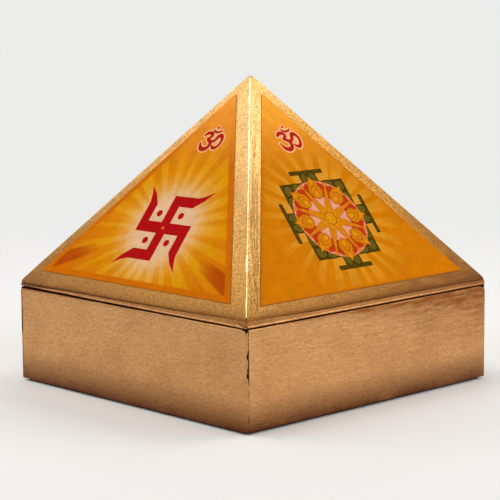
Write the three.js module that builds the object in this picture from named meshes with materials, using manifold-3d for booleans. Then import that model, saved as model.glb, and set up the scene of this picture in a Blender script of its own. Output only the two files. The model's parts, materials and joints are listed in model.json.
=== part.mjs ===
// A vastu pyramid: a foil-clad wooden box on a felt foot, a loose tray of small pyramids inside it,
// and a gilded pyramid lid with a printed label on each slope, which lifts straight off the box.
// Millimetres, +Z up. The origin is the centre of the underside. The front faces -Y, the right side +X.

import * as THREE from "three";
import { ConvexGeometry } from "three/addons/geometries/ConvexGeometry.js";
import { mergeVertices } from "three/addons/utils/BufferGeometryUtils.js";
import Module from "manifold-3d";

const wasm = await Module();
wasm.setup();

// Driving sizes
const SIDE = 100; // outer side of the square, over the foil
const BOX_HEIGHT = 28.8; // from the surface that the box stands on to its top edge
const LID_HEIGHT = 64.2; // from the underside of the lid to where its four slopes would meet

// Joints and clearances
const GLUE = 0.1; // film of glue between two flat pieces
const MITRE_GAP = 0.2; // glue line between two members that meet at a mitred corner
const LID_SEAT = 0.3; // open seam between the top of the box and the lid
const LID_FIT = 0.4; // room between the liner of the box and the inside of the lid's rim
const TRAY_SEAT = 0.3; // room under the tray, over the corner blocks
const TRAY_FIT = 0.5; // room round the tray, inside the liner
const PLATE_FIT = 1.5; // room between the copper plate and the corner blocks
const CUT_OVERRUN = 1; // how far a cutting tool runs past the face that it opens

// Box
const FOIL_T = 0.3; // metal foil over the outside of each wall
const WALL_T = 5.6;
const FLOOR_T = 3;
const FELT_T = 0.8;
const FELT_INSET = 1.2; // from the foil's face in to the edge of the felt
const LINER_T = 2.3;
const LINER_RISE = 3; // how far the liner stands up out of the box, to locate the lid
const LINER_LEAD_IN = 0.8; // level gap between the bevel on top of the liner and the inside of the lid
const BLOCK_LEG = 10; // short sides of the corner blocks that carry the tray
const BLOCK_HEIGHT = 15;

// Pins that hold the floor to the walls
const PIN_LENGTH = 14; // with its head
const PIN_R = 0.7;
const PIN_POINT = 1.5; // length of the point
const PIN_HEAD_R = 1.3;
const PIN_HEAD_H = 0.6;
const PIN_SUNK = 0.3; // depth of the head's face inside the floor's underside
const PIN_CLEARANCE = 0.3; // room round and past the pin in its hole
const PIN_FROM_CORNER = 18; // along the side, from the box's corner to the pin
const PIN_SIDES = 12;

// Copper plate on the floor, pressed into a field of tiny pyramids
const PLATE_T = 1;
const PLATE_MARGIN = 3.5; // plain border round the field
const MICRO_ROWS = 9;
const MICRO_GAP = 0.5; // between two tiny pyramids
const MICRO_SUNK = 0.1; // depth of their feet inside the plate
const MICRO_TIP = 0.2; // half the diagonal of the flat on a tiny pyramid's tip

// Tray with its small pyramids
const TRAY_T = 2.4;
const MINI_ROWS = 3;
const MINI_MARGIN = 2.7; // from the tray's edge to the outer pyramids
const MINI_GAP = 2.4; // between two pyramids
const MINI_TIP = 0.5; // half the diagonal of the flat on a small pyramid's tip

// Lid
const RIM_HEIGHT = 1.8; // upright face of the rim
const COVE_HEIGHT = 0.35; // groove between the rim and the foot of the slopes
const COVE_DEPTH = 0.8;
const FOOT_INSET = 0.4; // from the rim's face in to the foot of the slopes
const BOARD_T = 3.3; // square to the slope, as are the leaf and the label
const LEAF_T = 0.6; // gold leaf and the ground under it, over the outside of each board
const LABEL_T = 0.3;
const LABEL_GLUE = 0.15;
const LABEL_FOOT_BORDER = 3.8; // gold below the label, up the slope
const LABEL_HIP_BORDER = 4.2; // gold beside the label, square to the hip

// Levels and half widths of the box that follow from the sizes above
const HALF_SIDE = SIDE / 2;
const WALL_OUTER = HALF_SIDE - FOIL_T - GLUE;
const WALL_INNER = WALL_OUTER - WALL_T;
const LINER_OUTER = WALL_INNER - GLUE;
const LINER_INNER = LINER_OUTER - LINER_T;
const FLOOR_BOTTOM = FELT_T + GLUE;
const FLOOR_TOP = FLOOR_BOTTOM + FLOOR_T;
const INSIDE_BOTTOM = FLOOR_TOP + GLUE;
const BLOCK_CORNER = LINER_INNER - GLUE;
const TRAY_BOTTOM = INSIDE_BOTTOM + BLOCK_HEIGHT + TRAY_SEAT;
const TRAY_HALF = LINER_INNER - TRAY_FIT;

// Levels of the lid, from the underside of its rim, and the shape of its slopes
const RIM_INNER = LINER_OUTER + LID_FIT;
const RIM_TOP = RIM_HEIGHT + COVE_HEIGHT;
const SLOPE_BOTTOM = RIM_TOP + GLUE;
const SLOPE_HALF = HALF_SIDE - FOOT_INSET;
const SLOPE_RISE = (LID_HEIGHT - SLOPE_BOTTOM) / SLOPE_HALF; // height gained for each millimetre inwards
const SLOPE_ANGLE = Math.atan(SLOPE_RISE);
const SLOPE_LENGTH = SLOPE_HALF / Math.cos(SLOPE_ANGLE);
const BOARD_DEPTH = LEAF_T + GLUE; // outside of a board, below the surface of the leaf
const HOLLOW_DEPTH = BOARD_DEPTH + BOARD_T; // inside of a board, below the surface of the leaf
const MITRE_CUT = MITRE_GAP / Math.SQRT2; // what one member loses along its own side at a mitre

const SIDE_NAMES = ["front", "right", "back", "left"];

const MATERIALS = {
  foil: finish(0xbf8a58, 0.42, 0.85),
  leaf: finish(0xe0ae62, 0.5, 0.65),
  label: finish(0xd2811a, 0.35, 0),
  wood: finish(0xc9a474, 0.75, 0),
  felt: finish(0x1f1b19, 0.95, 0),
  copper: finish(0xb8703c, 0.35, 0.95),
  smallGold: finish(0xd9a441, 0.4, 0.8),
  steel: finish(0x9b9a97, 0.35, 0.9),
};

function finish(color, roughness, metalness) {
  return new THREE.MeshStandardMaterial({ color, roughness, metalness });
}

// A closed geometry as a solid that can be joined to others or cut by them
function solidFrom(geometry) {
  const bare = geometry.clone();
  bare.deleteAttribute("normal");
  bare.deleteAttribute("uv");
  const merged = mergeVertices(bare);
  const vertProperties = merged.getAttribute("position").array;
  const triVerts = new Uint32Array(merged.index.array);
  return new wasm.Manifold(new wasm.Mesh({ numProp: 3, vertProperties, triVerts }));
}

function geometryFrom(solid) {
  const mesh = solid.getMesh();
  const geometry = new THREE.BufferGeometry();
  geometry.setAttribute("position", new THREE.BufferAttribute(mesh.vertProperties, 3));
  geometry.setIndex(new THREE.BufferAttribute(mesh.triVerts, 1));
  return flatShaded(geometry);
}

function flatShaded(geometry) {
  const flat = geometry.index ? geometry.toNonIndexed() : geometry;
  flat.computeVertexNormals();
  return flat;
}

function cutFrom(geometry, tools) {
  return geometryFrom(tools.reduce((left, tool) => left.subtract(solidFrom(tool)), solidFrom(geometry)));
}

function namedMesh(name, geometry, material) {
  const mesh = new THREE.Mesh(geometry, material);
  mesh.name = name;
  return mesh;
}

// A square slab centred on the axis, from one level to another
function squareSlab(half, bottom, top) {
  return new THREE.BoxGeometry(2 * half, 2 * half, top - bottom).translate(0, 0, (bottom + top) / 2);
}

// A solid turned about the upright axis. The profile runs from the axis, round and back to the axis.
function turned(profile, sides) {
  const points = profile.map(([radius, height]) => new THREE.Vector2(radius, height));
  return new THREE.LatheGeometry(points, sides).rotateX(Math.PI / 2);
}

// A square pyramid with a blunt tip, standing on level zero with its sides along X and Y
function squarePyramid(base, height, tipRadius) {
  const corner = base / Math.SQRT2;
  const profile = [[0, 0], [corner, 0], [tipRadius, height], [0, height]];
  return turned(profile, 4).rotateZ(Math.PI / 4);
}

// The front one of four like members that frame a square. Its section is a closed outline of half widths and
// heights, counter-clockwise, and each end stops on the square's diagonal, short of it by the mitre's cut.
function mitredMember(section) {
  const count = section.length;
  const positions = [];
  for (const end of [-1, 1]) {
    for (const [half, height] of section) positions.push(end * (half - MITRE_CUT), -half, height);
  }
  const indices = [];
  for (let i = 0; i < count; i += 1) {
    const next = (i + 1) % count;
    indices.push(i, count + next, next);
    indices.push(i, count + i, count + next);
  }
  const outline = section.map(([half, height]) => new THREE.Vector2(half, height));
  for (const [a, b, c] of THREE.ShapeUtils.triangulateShape(outline, [])) {
    indices.push(a, b, c);
    indices.push(count + c, count + b, count + a);
  }
  const geometry = new THREE.BufferGeometry();
  geometry.setAttribute("position", new THREE.Float32BufferAttribute(positions, 3));
  geometry.setIndex(indices);
  return flatShaded(geometry);
}

// A rectangular section for a mitred member
function uprightSection(inner, outer, bottom, top) {
  return [[inner, bottom], [outer, bottom], [outer, top], [inner, top]];
}

// Four copies of the front member, one on each side of the square
function onFourSides(prefix, geometry, material) {
  return SIDE_NAMES.map((side, turn) => {
    const mesh = namedMesh(`${prefix}_${side}`, geometry, material);
    mesh.rotation.z = (turn * Math.PI) / 2;
    return mesh;
  });
}

// Where the pins stand: two under each wall, as x and y in the box's frame
function pinPlaces() {
  const along = HALF_SIDE - PIN_FROM_CORNER;
  const across = (WALL_OUTER + WALL_INNER) / 2;
  const places = [];
  for (const end of [-1, 1]) {
    for (const side of [-1, 1]) {
      places.push([end * along, side * across]);
      places.push([side * across, end * along]);
    }
  }
  return places;
}

// A pin with its head down, its head's face on level zero
function pin() {
  const profile = [
    [0, 0],
    [PIN_HEAD_R, 0],
    [PIN_HEAD_R, PIN_HEAD_H],
    [PIN_R, PIN_HEAD_H],
    [PIN_R, PIN_LENGTH - PIN_POINT],
    [0, PIN_LENGTH],
  ];
  return turned(profile, PIN_SIDES);
}

// The hole that takes a pin through the floor and up into the wall, in the same frame as the pin
function pinHole() {
  const headRoom = PIN_HEAD_R + PIN_CLEARANCE;
  const shaftRoom = PIN_R + PIN_CLEARANCE;
  const profile = [
    [0, -PIN_SUNK - CUT_OVERRUN],
    [headRoom, -PIN_SUNK - CUT_OVERRUN],
    [headRoom, PIN_HEAD_H + PIN_CLEARANCE],
    [shaftRoom, PIN_HEAD_H + PIN_CLEARANCE],
    [shaftRoom, PIN_LENGTH + PIN_CLEARANCE],
    [0, PIN_LENGTH + PIN_CLEARANCE],
  ];
  return turned(profile, PIN_SIDES);
}

function pinHolesAt(places) {
  return places.map(([x, y]) => pinHole().translate(x, y, FLOOR_BOTTOM + PIN_SUNK));
}

function frontWall() {
  const wall = mitredMember(uprightSection(WALL_INNER, WALL_OUTER, INSIDE_BOTTOM, BOX_HEIGHT));
  const ownPins = pinPlaces().filter(([, y]) => y < -WALL_INNER);
  return cutFrom(wall, pinHolesAt(ownPins));
}

// Half width, at a height above the underside of the rim, of the pyramid that lies a depth below the leaf
function slopeHalf(height, depth) {
  return (LID_HEIGHT - height) / SLOPE_RISE - depth / Math.sin(SLOPE_ANGLE);
}

// Height above the underside of the rim at which that pyramid has the given half width
function slopeHeight(half, depth) {
  return LID_HEIGHT - (half + depth / Math.sin(SLOPE_ANGLE)) * SLOPE_RISE;
}

// The liner stands on the floor inside the walls. Its top is bevelled along the slope of the lid above it.
function linerSection() {
  const lidBottom = BOX_HEIGHT + LID_SEAT;
  const top = BOX_HEIGHT + LINER_RISE;
  const bevelBottom = lidBottom + slopeHeight(LINER_OUTER + LINER_LEAD_IN, HOLLOW_DEPTH);
  const bevelTopHalf = slopeHalf(top - lidBottom, HOLLOW_DEPTH) - LINER_LEAD_IN;
  return [
    [LINER_INNER, INSIDE_BOTTOM],
    [LINER_OUTER, INSIDE_BOTTOM],
    [LINER_OUTER, bevelBottom],
    [bevelTopHalf, top],
    [LINER_INNER, top],
  ];
}

function cornerBlock() {
  const triangle = new THREE.Shape([
    new THREE.Vector2(BLOCK_CORNER, -BLOCK_CORNER),
    new THREE.Vector2(BLOCK_CORNER, BLOCK_LEG - BLOCK_CORNER),
    new THREE.Vector2(BLOCK_CORNER - BLOCK_LEG, -BLOCK_CORNER),
  ]);
  const block = new THREE.ExtrudeGeometry(triangle, { depth: BLOCK_HEIGHT, bevelEnabled: false });
  return block.translate(0, 0, INSIDE_BOTTOM);
}

// Centres of a square grid of places, row by row
function gridPlaces(rows, pitch) {
  const first = (-(rows - 1) * pitch) / 2;
  const places = [];
  for (let row = 0; row < rows; row += 1) {
    for (let column = 0; column < rows; column += 1) {
      places.push([first + column * pitch, first + row * pitch]);
    }
  }
  return places;
}

// The plate with its tiny pyramids, which have the lid's slope and are sunk a little way into the plate
function copperPlate() {
  const half = BLOCK_CORNER - BLOCK_LEG / 2 - PLATE_FIT;
  const pitch = (2 * (half - PLATE_MARGIN)) / MICRO_ROWS;
  const base = pitch - MICRO_GAP;
  const foot = INSIDE_BOTTOM + PLATE_T - MICRO_SUNK;
  const plate = solidFrom(squareSlab(half, INSIDE_BOTTOM, INSIDE_BOTTOM + PLATE_T));
  const tinyPyramid = squarePyramid(base, (SLOPE_RISE * base) / 2, MICRO_TIP);
  const field = gridPlaces(MICRO_ROWS, pitch).map(([x, y]) => tinyPyramid.clone().translate(x, y, foot));
  return geometryFrom(field.reduce((joined, tip) => joined.add(solidFrom(tip)), plate));
}

// The front one of four sloping panels, between two depths below the surface of the leaf. Its foot is level and
// its sides stop at the mitres.
function frontPanel(outerDepth, innerDepth) {
  const corners = [];
  for (const depth of [outerDepth, innerDepth]) {
    const half = slopeHalf(SLOPE_BOTTOM, depth);
    corners.push(new THREE.Vector3(MITRE_CUT - half, -half, SLOPE_BOTTOM));
    corners.push(new THREE.Vector3(half - MITRE_CUT, -half, SLOPE_BOTTOM));
    corners.push(new THREE.Vector3(0, -MITRE_CUT, slopeHeight(MITRE_CUT, depth)));
  }
  return new ConvexGeometry(corners);
}

// A point on the front slope: along its foot, up the slope, and lifted square to it
function slopePoint(along, up, lift) {
  const sine = Math.sin(SLOPE_ANGLE);
  const cosine = Math.cos(SLOPE_ANGLE);
  const y = up * cosine - lift * sine - SLOPE_HALF;
  return new THREE.Vector3(along, y, SLOPE_BOTTOM + up * sine + lift * cosine);
}

// The label is a triangle that keeps its borders to the foot and the hips of the slope
function frontLabel() {
  const hipLength = Math.hypot(SLOPE_HALF, SLOPE_LENGTH);
  const levelBorder = (LABEL_HIP_BORDER * hipLength) / SLOPE_LENGTH;
  const halfAt = (up) => SLOPE_HALF * (1 - up / SLOPE_LENGTH) - levelBorder;
  const tip = SLOPE_LENGTH * (1 - levelBorder / SLOPE_HALF);
  const corners = [];
  for (const lift of [LABEL_GLUE, LABEL_GLUE + LABEL_T]) {
    corners.push(slopePoint(-halfAt(LABEL_FOOT_BORDER), LABEL_FOOT_BORDER, lift));
    corners.push(slopePoint(halfAt(LABEL_FOOT_BORDER), LABEL_FOOT_BORDER, lift));
    corners.push(slopePoint(0, tip, lift));
  }
  return new ConvexGeometry(corners);
}

// The rim runs round under the slopes, with a sloping groove along the top of its face
function rimSection() {
  return [
    [RIM_INNER, 0],
    [HALF_SIDE, 0],
    [HALF_SIDE, RIM_HEIGHT],
    [HALF_SIDE - COVE_DEPTH, RIM_TOP],
    [RIM_INNER, RIM_TOP],
  ];
}

function makeBox() {
  const box = new THREE.Group();
  const felt = squareSlab(HALF_SIDE - FELT_INSET, 0, FELT_T);
  const floor = cutFrom(squareSlab(WALL_OUTER, FLOOR_BOTTOM, FLOOR_TOP), pinHolesAt(pinPlaces()));
  const foil = mitredMember(uprightSection(HALF_SIDE - FOIL_T, HALF_SIDE, FLOOR_BOTTOM, BOX_HEIGHT));
  box.add(namedMesh("base_felt", felt, MATERIALS.felt));
  box.add(namedMesh("base_floor", floor, MATERIALS.wood));
  box.add(...onFourSides("base_wall", frontWall(), MATERIALS.wood));
  box.add(...onFourSides("base_foil", foil, MATERIALS.foil));
  box.add(...onFourSides("base_liner", mitredMember(linerSection()), MATERIALS.wood));
  box.add(...onFourSides("corner_block", cornerBlock(), MATERIALS.wood));
  box.add(namedMesh("copper_plate", copperPlate(), MATERIALS.copper));
  pinPlaces().forEach(([x, y], i) => {
    const mesh = namedMesh(`floor_pin_${i + 1}`, pin(), MATERIALS.steel);
    mesh.position.set(x, y, FLOOR_BOTTOM + PIN_SUNK);
    box.add(mesh);
  });
  return box;
}

function makeTray() {
  const tray = new THREE.Group();
  tray.position.z = TRAY_BOTTOM;
  tray.add(namedMesh("tray_board", squareSlab(TRAY_HALF, 0, TRAY_T), MATERIALS.wood));
  const base = (2 * (TRAY_HALF - MINI_MARGIN) - (MINI_ROWS - 1) * MINI_GAP) / MINI_ROWS;
  const pyramid = squarePyramid(base, (SLOPE_RISE * base) / 2, MINI_TIP);
  gridPlaces(MINI_ROWS, base + MINI_GAP).forEach(([x, y], i) => {
    const mesh = namedMesh(`mini_pyramid_${i + 1}`, pyramid, MATERIALS.smallGold);
    mesh.position.set(x, y, TRAY_T + GLUE);
    tray.add(mesh);
  });
  return tray;
}

function makeLid() {
  const lid = new THREE.Group();
  lid.position.z = BOX_HEIGHT + LID_SEAT;
  lid.add(...onFourSides("lid_rim", mitredMember(rimSection()), MATERIALS.foil));
  lid.add(...onFourSides("lid_board", frontPanel(BOARD_DEPTH, HOLLOW_DEPTH), MATERIALS.wood));
  lid.add(...onFourSides("lid_leaf", frontPanel(0, LEAF_T), MATERIALS.leaf));
  lid.add(...onFourSides("lid_label", frontLabel(), MATERIALS.label));
  return lid;
}

const vastuPyramid = new THREE.Group();
vastuPyramid.add(makeBox(), makeTray(), makeLid());

export default vastuPyramid;
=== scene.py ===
"""Looks of a vastu pyramid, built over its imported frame.

A foil-clad wooden box stands on a felt foot. A gilded pyramid lid with a printed label on each slope lifts
straight off it. Under the lid a loose tray carries nine small gilded pyramids, over a pressed copper plate.

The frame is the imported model's: +Z up, the front faces -Y, the right side +X. Sizes in the classes are
millimetres, and MM turns them into metres where a mesh or a pattern is made.
"""

import json
import logging
import math
from dataclasses import dataclass, replace
from enum import Enum
from functools import partial
from typing import Any, Callable, Mapping, Optional, Sequence, Union

import bpy
import numpy as np
from mathutils import Matrix, Vector

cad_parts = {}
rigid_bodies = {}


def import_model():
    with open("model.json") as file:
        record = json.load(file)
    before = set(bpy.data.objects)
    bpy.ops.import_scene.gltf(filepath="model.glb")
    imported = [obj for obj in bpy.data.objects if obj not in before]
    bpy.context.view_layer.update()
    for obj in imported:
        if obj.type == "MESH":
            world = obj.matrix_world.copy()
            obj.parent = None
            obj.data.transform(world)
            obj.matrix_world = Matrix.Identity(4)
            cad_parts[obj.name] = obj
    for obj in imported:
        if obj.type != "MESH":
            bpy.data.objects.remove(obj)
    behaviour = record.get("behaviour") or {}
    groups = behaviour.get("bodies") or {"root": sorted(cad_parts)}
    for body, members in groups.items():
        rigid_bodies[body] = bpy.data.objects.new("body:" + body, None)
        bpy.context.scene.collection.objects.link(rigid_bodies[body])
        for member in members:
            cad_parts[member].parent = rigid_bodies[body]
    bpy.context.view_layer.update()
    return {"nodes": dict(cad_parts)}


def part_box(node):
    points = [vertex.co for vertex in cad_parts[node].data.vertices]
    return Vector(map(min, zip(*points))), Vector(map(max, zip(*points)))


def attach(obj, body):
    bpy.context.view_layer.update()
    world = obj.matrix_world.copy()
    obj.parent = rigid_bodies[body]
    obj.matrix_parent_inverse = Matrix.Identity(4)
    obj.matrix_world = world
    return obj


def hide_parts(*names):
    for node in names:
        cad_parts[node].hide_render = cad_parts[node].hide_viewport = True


MM = 0.001
Array = np.ndarray
Node = bpy.types.Node
Key = Union[str, int]
Source = Union[bpy.types.NodeSocket, Node]
Outputs = Sequence[bpy.types.NodeSocket]
Adder = Callable[..., Node]

# How many heights the lattice of the random relief has each way
LATTICE = 64

# Gloss of print and dried glue: next to none, as both are matt under soft lamps
PRINT_SPECULAR = 0.004

# Distance, in half sides, that stands for out of a corner's reach
FAR = 9.0

# Shift of the leaf's noise from one side to the next, so that no two sides have the same wear
SIDE_SHIFT = 137.0

log = logging.getLogger("vastu_pyramid")


class Side(Enum):
    """The four sides of the square. The value is how many quarter turns carry the front there."""

    FRONT = 0
    RIGHT = 1
    BACK = 2
    LEFT = 3

    @property
    def word(self) -> str:
        """The side's name, as the frame's nodes spell it."""
        return self.name.lower()


class Motif(Enum):
    """The traditional sign in the middle of a label."""

    SVASTIKA = "svastika"
    YANTRA = "yantra"


# Meshes


@dataclass
class Surface:
    """Vertices in millimetres, with the faces between them.

    Attributes:
        points: One row of x, y and z for each vertex.
        faces: Groups of faces with one corner count each, as vertex numbers.
        uv: For each vertex, its place in a print, from 0 to 1 both ways.
        slots: For each group of faces, the number of the finish that it takes.
        grime: For each vertex, how much dark glue, grime and painted shade lies there, from 0 to 1.
    """

    points: Array
    faces: list[Array]
    uv: Optional[Array] = None
    slots: Optional[list[int]] = None
    grime: Optional[Array] = None

    def turned(self, side: Side) -> "Surface":
        """Carry the surface from the front to another side of the square.

        Args:
            side: The side that it goes to.

        Returns:
            A new surface there.
        """
        cosine, sine = ((1, 0), (0, 1), (-1, 0), (0, -1))[side.value]
        turn = np.array(((cosine, sine, 0), (-sine, cosine, 0), (0, 0, 1)), float)
        return Surface(self.points @ turn, self.faces, self.uv, self.slots, self.grime)

    def outward(self) -> "Surface":
        """The closed surface with its faces pointing out: their tetrahedra then hold a volume above 0."""
        volume = 0.0
        for group in self.faces:
            corner = self.points[group]
            for i in range(1, group.shape[1] - 1):
                volume += np.einsum("ij,ij->", corner[:, 0], np.cross(corner[:, i], corner[:, i + 1]))
        if volume < 0:
            self.faces = [group[:, ::-1] for group in self.faces]
        return self

    def mesh(self, name: str) -> bpy.types.Mesh:
        """Make a mesh in metres from the vertices and faces.

        Args:
            name: The mesh's name.

        Returns:
            The mesh, with no finish yet.
        """
        made = bpy.data.meshes.new(name)
        faces = [face for group in self.faces for face in group.tolist()]
        made.from_pydata((self.points * MM).tolist(), [], faces)
        return made


def joined(surfaces: Sequence[Surface]) -> Surface:
    """Several surfaces as one, each with its own vertices.

    Args:
        surfaces: The surfaces, all with a print or all without, and the same for grime and painted shade.

    Returns:
        One surface that holds them all.
    """
    starts = np.cumsum([0] + [len(surface.points) for surface in surfaces])
    faces = [group + start for surface, start in zip(surfaces, starts) for group in surface.faces]
    slots = [slot for surface in surfaces for slot in (surface.slots or [0] * len(surface.faces))]
    prints = [surface.uv for surface in surfaces if surface.uv is not None]
    grime_and_shade_arrays = [surface.grime for surface in surfaces if surface.grime is not None]
    return Surface(
        np.concatenate([surface.points for surface in surfaces]),
        faces,
        np.concatenate(prints) if prints else None,
        slots,
        np.concatenate(grime_and_shade_arrays) if grime_and_shade_arrays else None,
    )


def xyz(x: Any, y: Any, z: Any) -> Array:
    """Points from their x, y and z, each an array or the same for all."""
    return np.stack(np.broadcast_arrays(x, y, z), axis=-1)


def grid_faces(rows: int, columns: int, round_rows: bool = False, round_columns: bool = False) -> Array:
    """Quads between the neighbours of a grid whose vertices are numbered row by row.

    Args:
        rows: How many rows of vertices there are.
        columns: How many vertices a row has.
        round_rows: Whether the last row joins the first.
        round_columns: Whether the last vertex of a row joins its first.

    Returns:
        One row of four vertex numbers for each quad.
    """
    row, column = np.meshgrid(
        np.arange(rows if round_rows else rows - 1),
        np.arange(columns if round_columns else columns - 1),
        indexing="ij",
    )
    below, beside = (row + 1) % rows, (column + 1) % columns
    here, under = row * columns, below * columns
    quads = (here + column, here + beside, under + beside, under + column)
    return np.stack(quads, axis=-1).reshape(-1, 4)


def closed_sheet(top: Array, under: Array, uv: Optional[Array] = None) -> Surface:
    """A closed sheet between two grids of points that face each other, with an edge all round.

    Args:
        top: Grid of points of the upper face, as rows, columns and xyz.
        under: Grid of points of the lower face, of the same shape.
        uv: Place in a print of each point of the grid.

    Returns:
        The sheet: the upper face takes finish 0, and the lower face and the edge finish 1.
    """
    rows, columns = top.shape[:2]
    number = np.arange(rows * columns).reshape(rows, columns)
    upper = grid_faces(rows, columns)
    loop = np.concatenate((number[0, :-1], number[:-1, -1], number[-1, :0:-1], number[:0:-1, 0]))
    following = np.roll(loop, -1)
    count = rows * columns
    edge = np.stack((following, loop, loop + count, following + count), axis=-1)
    points = np.concatenate((top.reshape(-1, 3), under.reshape(-1, 3)))
    both = None if uv is None else np.concatenate((uv.reshape(-1, 2),) * 2)
    return Surface(points, [upper, upper[:, ::-1] + count, edge], both, [0, 1, 1]).outward()


def member(grid: Array) -> Surface:
    """A bar with closed ends: each row of the grid follows it, and the rows run round its section.

    Args:
        grid: Points as rows round the section, columns along the bar, and xyz.

    Returns:
        The closed bar.
    """
    rows, columns = grid.shape[:2]
    number = np.arange(rows * columns).reshape(rows, columns)
    quads = grid_faces(rows, columns, round_rows=True)
    return Surface(grid.reshape(-1, 3), [quads, number[None, :, 0], number[None, ::-1, -1]]).outward()


def dome(grid: Array, pole: Array, start: int = 0) -> Surface:
    """Rings that close on themselves, the last of them round a pole. The first ring is left open.

    Args:
        grid: Points as rings, places round a ring, and xyz.
        pole: The point that closes the last ring.
        start: Number that the first vertex gets.

    Returns:
        The open surface.
    """
    rows, columns = grid.shape[:2]
    last = (rows - 1) * columns + np.arange(columns)
    fan = np.stack((last, np.roll(last, -1), np.full(columns, rows * columns)), axis=-1)
    quads = grid_faces(rows, columns, round_columns=True)
    return Surface(np.concatenate((grid.reshape(-1, 3), pole[None])), [quads + start, fan + start])


def shell(outer: Array, outer_pole: Array, inner: Array, inner_pole: Array) -> Surface:
    """Two domes with the same places round their rings, joined along their first rings into one body.

    Args:
        outer: Rings of the first dome.
        outer_pole: The point that closes it.
        inner: Rings of the second dome.
        inner_pole: The point that closes it.

    Returns:
        The closed body.
    """
    columns = outer.shape[1]
    over = dome(outer, outer_pole)
    under = dome(inner, inner_pole, start=len(over.points))
    place = np.arange(columns)
    following = np.roll(place, -1)
    foot = np.stack((following, place, place + len(over.points), following + len(over.points)), axis=-1)
    turned_in = [group[:, ::-1] for group in under.faces]
    points = np.concatenate((over.points, under.points))
    return Surface(points, over.faces + turned_in + [foot]).outward()


def prism(low: Array, high: Array) -> Surface:
    """A flat shape between two outlines that face each other.

    Args:
        low: Corners of the underside, in order round the shape, as xyz.
        high: Corners of the face, in the same order.

    Returns:
        The closed shape.
    """
    count = len(low)
    number = np.arange(count)
    following = np.roll(number, -1)
    wall = np.stack((number, following, following + count, number + count), axis=-1)
    return Surface(np.concatenate((low, high)), [wall, number[None, ::-1], number[None] + count]).outward()


@dataclass(frozen=True)
class SquareRound:
    """Places round a square with rounded corners, the same for each ring that uses it.

    Attributes:
        side: Number of the side that each place is on, in quarter turns from the front.
        along: Place on the straight part of the side, from -1 to 1.
        corner: Angle travelled round the corner that follows the straight part.
    """

    side: Array
    along: Array
    corner: Array

    @classmethod
    def spaced(cls, along: Array, corner_steps: int) -> "SquareRound":
        """Places with the given spacing on each side and even steps round each corner.

        Args:
            along: Places on a side, from -1 to 1.
            corner_steps: How many steps a corner is divided into.

        Returns:
            The places, counter-clockwise from the left end of the front.
        """
        turn = np.linspace(0, math.pi / 2, corner_steps + 1)[1:-1]
        one_along = np.concatenate((along, np.ones(len(turn))))
        one_corner = np.concatenate((np.zeros(len(along)), turn))
        side = np.repeat(np.arange(4), len(one_along))
        return cls(side, np.tile(one_along, 4), np.tile(one_corner, 4))

    def _carried(self, x: Array, y: Array) -> tuple[Array, Array]:
        """Turn values for the front to the side that each place is on.

        Args:
            x: The x values, as if each place were on the front.
            y: The y values.

        Returns:
            The turned x and y values.
        """
        cosine = np.array((1, 0, -1, 0))[self.side]
        sine = np.array((0, 1, 0, -1))[self.side]
        return x * cosine - y * sine, x * sine + y * cosine

    def ring(self, half: Any, radius: Any) -> tuple[Array, Array]:
        """x and y of every place: half the side out, and in the corner a circle of the radius.

        Args:
            half: Half the side, for each place or for all.
            radius: Radius of the corners, for each place or for all.

        Returns:
            The x and y values.
        """
        reach = half - radius
        x = self.along * reach + radius * np.sin(self.corner)
        y = -reach - radius * np.cos(self.corner)
        return self._carried(x, y)

    def on(self, side: Side) -> Array:
        """Whether each place is on a side, or round the corner at its right end."""
        return self.side == side.value

    def from_corner(self, side: Side) -> Array:
        """Distance in half sides from the corner at a side's right end, and FAR on the other two sides."""
        after = Side((side.value + 1) % 4)
        return np.where(self.on(side), 1 - self.along, np.where(self.on(after), 1 + self.along, FAR))

    def facing(self) -> tuple[Array, Array]:
        """x and y of the level direction that each place faces."""
        return self._carried(np.sin(self.corner), -np.cos(self.corner))


def spaced_from_ends(half: float, fine: float, coarse: float, reach: float) -> Array:
    """Places on a side from -1 to 1: a fine step over the reach next to either end, a coarse one between.

    Args:
        half: Half the length of the side.
        fine: Step near the ends.
        coarse: Step in the middle.
        reach: Length of either fine part.

    Returns:
        The places, both ends included.
    """
    near = np.linspace(-half, reach - half, round(reach / fine) + 1)
    middle = np.linspace(reach - half, half - reach, round(2 * (half - reach) / coarse) + 1)[1:-1]
    return np.concatenate((near, middle, -near[::-1])) / half


def noise(x: Array, y: Array, cell_x: float, cell_y: float, seed: int) -> Array:
    """Smooth random relief from -1 to 1: random heights on a lattice, blended by the place in each cell.

    Args:
        x: First coordinate.
        y: Second coordinate.
        cell_x: Size of a cell along the first.
        cell_y: Size of a cell along the second.
        seed: Number that fixes the random heights.

    Returns:
        The height at each place.
    """
    heights = np.random.default_rng(seed).uniform(-1, 1, (LATTICE, LATTICE))
    row, column = x / cell_x, y / cell_y
    low_row, low_column = np.floor(row).astype(int), np.floor(column).astype(int)
    a, b = row - low_row, column - low_column
    a, b = a * a * (3 - 2 * a), b * b * (3 - 2 * b)
    rows = (low_row % LATTICE, (low_row + 1) % LATTICE)
    columns = (low_column % LATTICE, (low_column + 1) % LATTICE)
    first = heights[rows[0], columns[0]] * (1 - b) + heights[rows[0], columns[1]] * b
    second = heights[rows[1], columns[0]] * (1 - b) + heights[rows[1], columns[1]] * b
    return first * (1 - a) + second * a


def noise_along(x: Array, cell: float, seed: int) -> Array:
    """The same relief along a line: noise of one coordinate."""
    return noise(x, np.zeros_like(x), cell, 1.0, seed)


def soft_dip(distance: Array, width: float) -> Array:
    """1 at distance 0, falling to nothing like a bell over about twice the width."""
    return np.exp(-((distance / width) ** 2))


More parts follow.
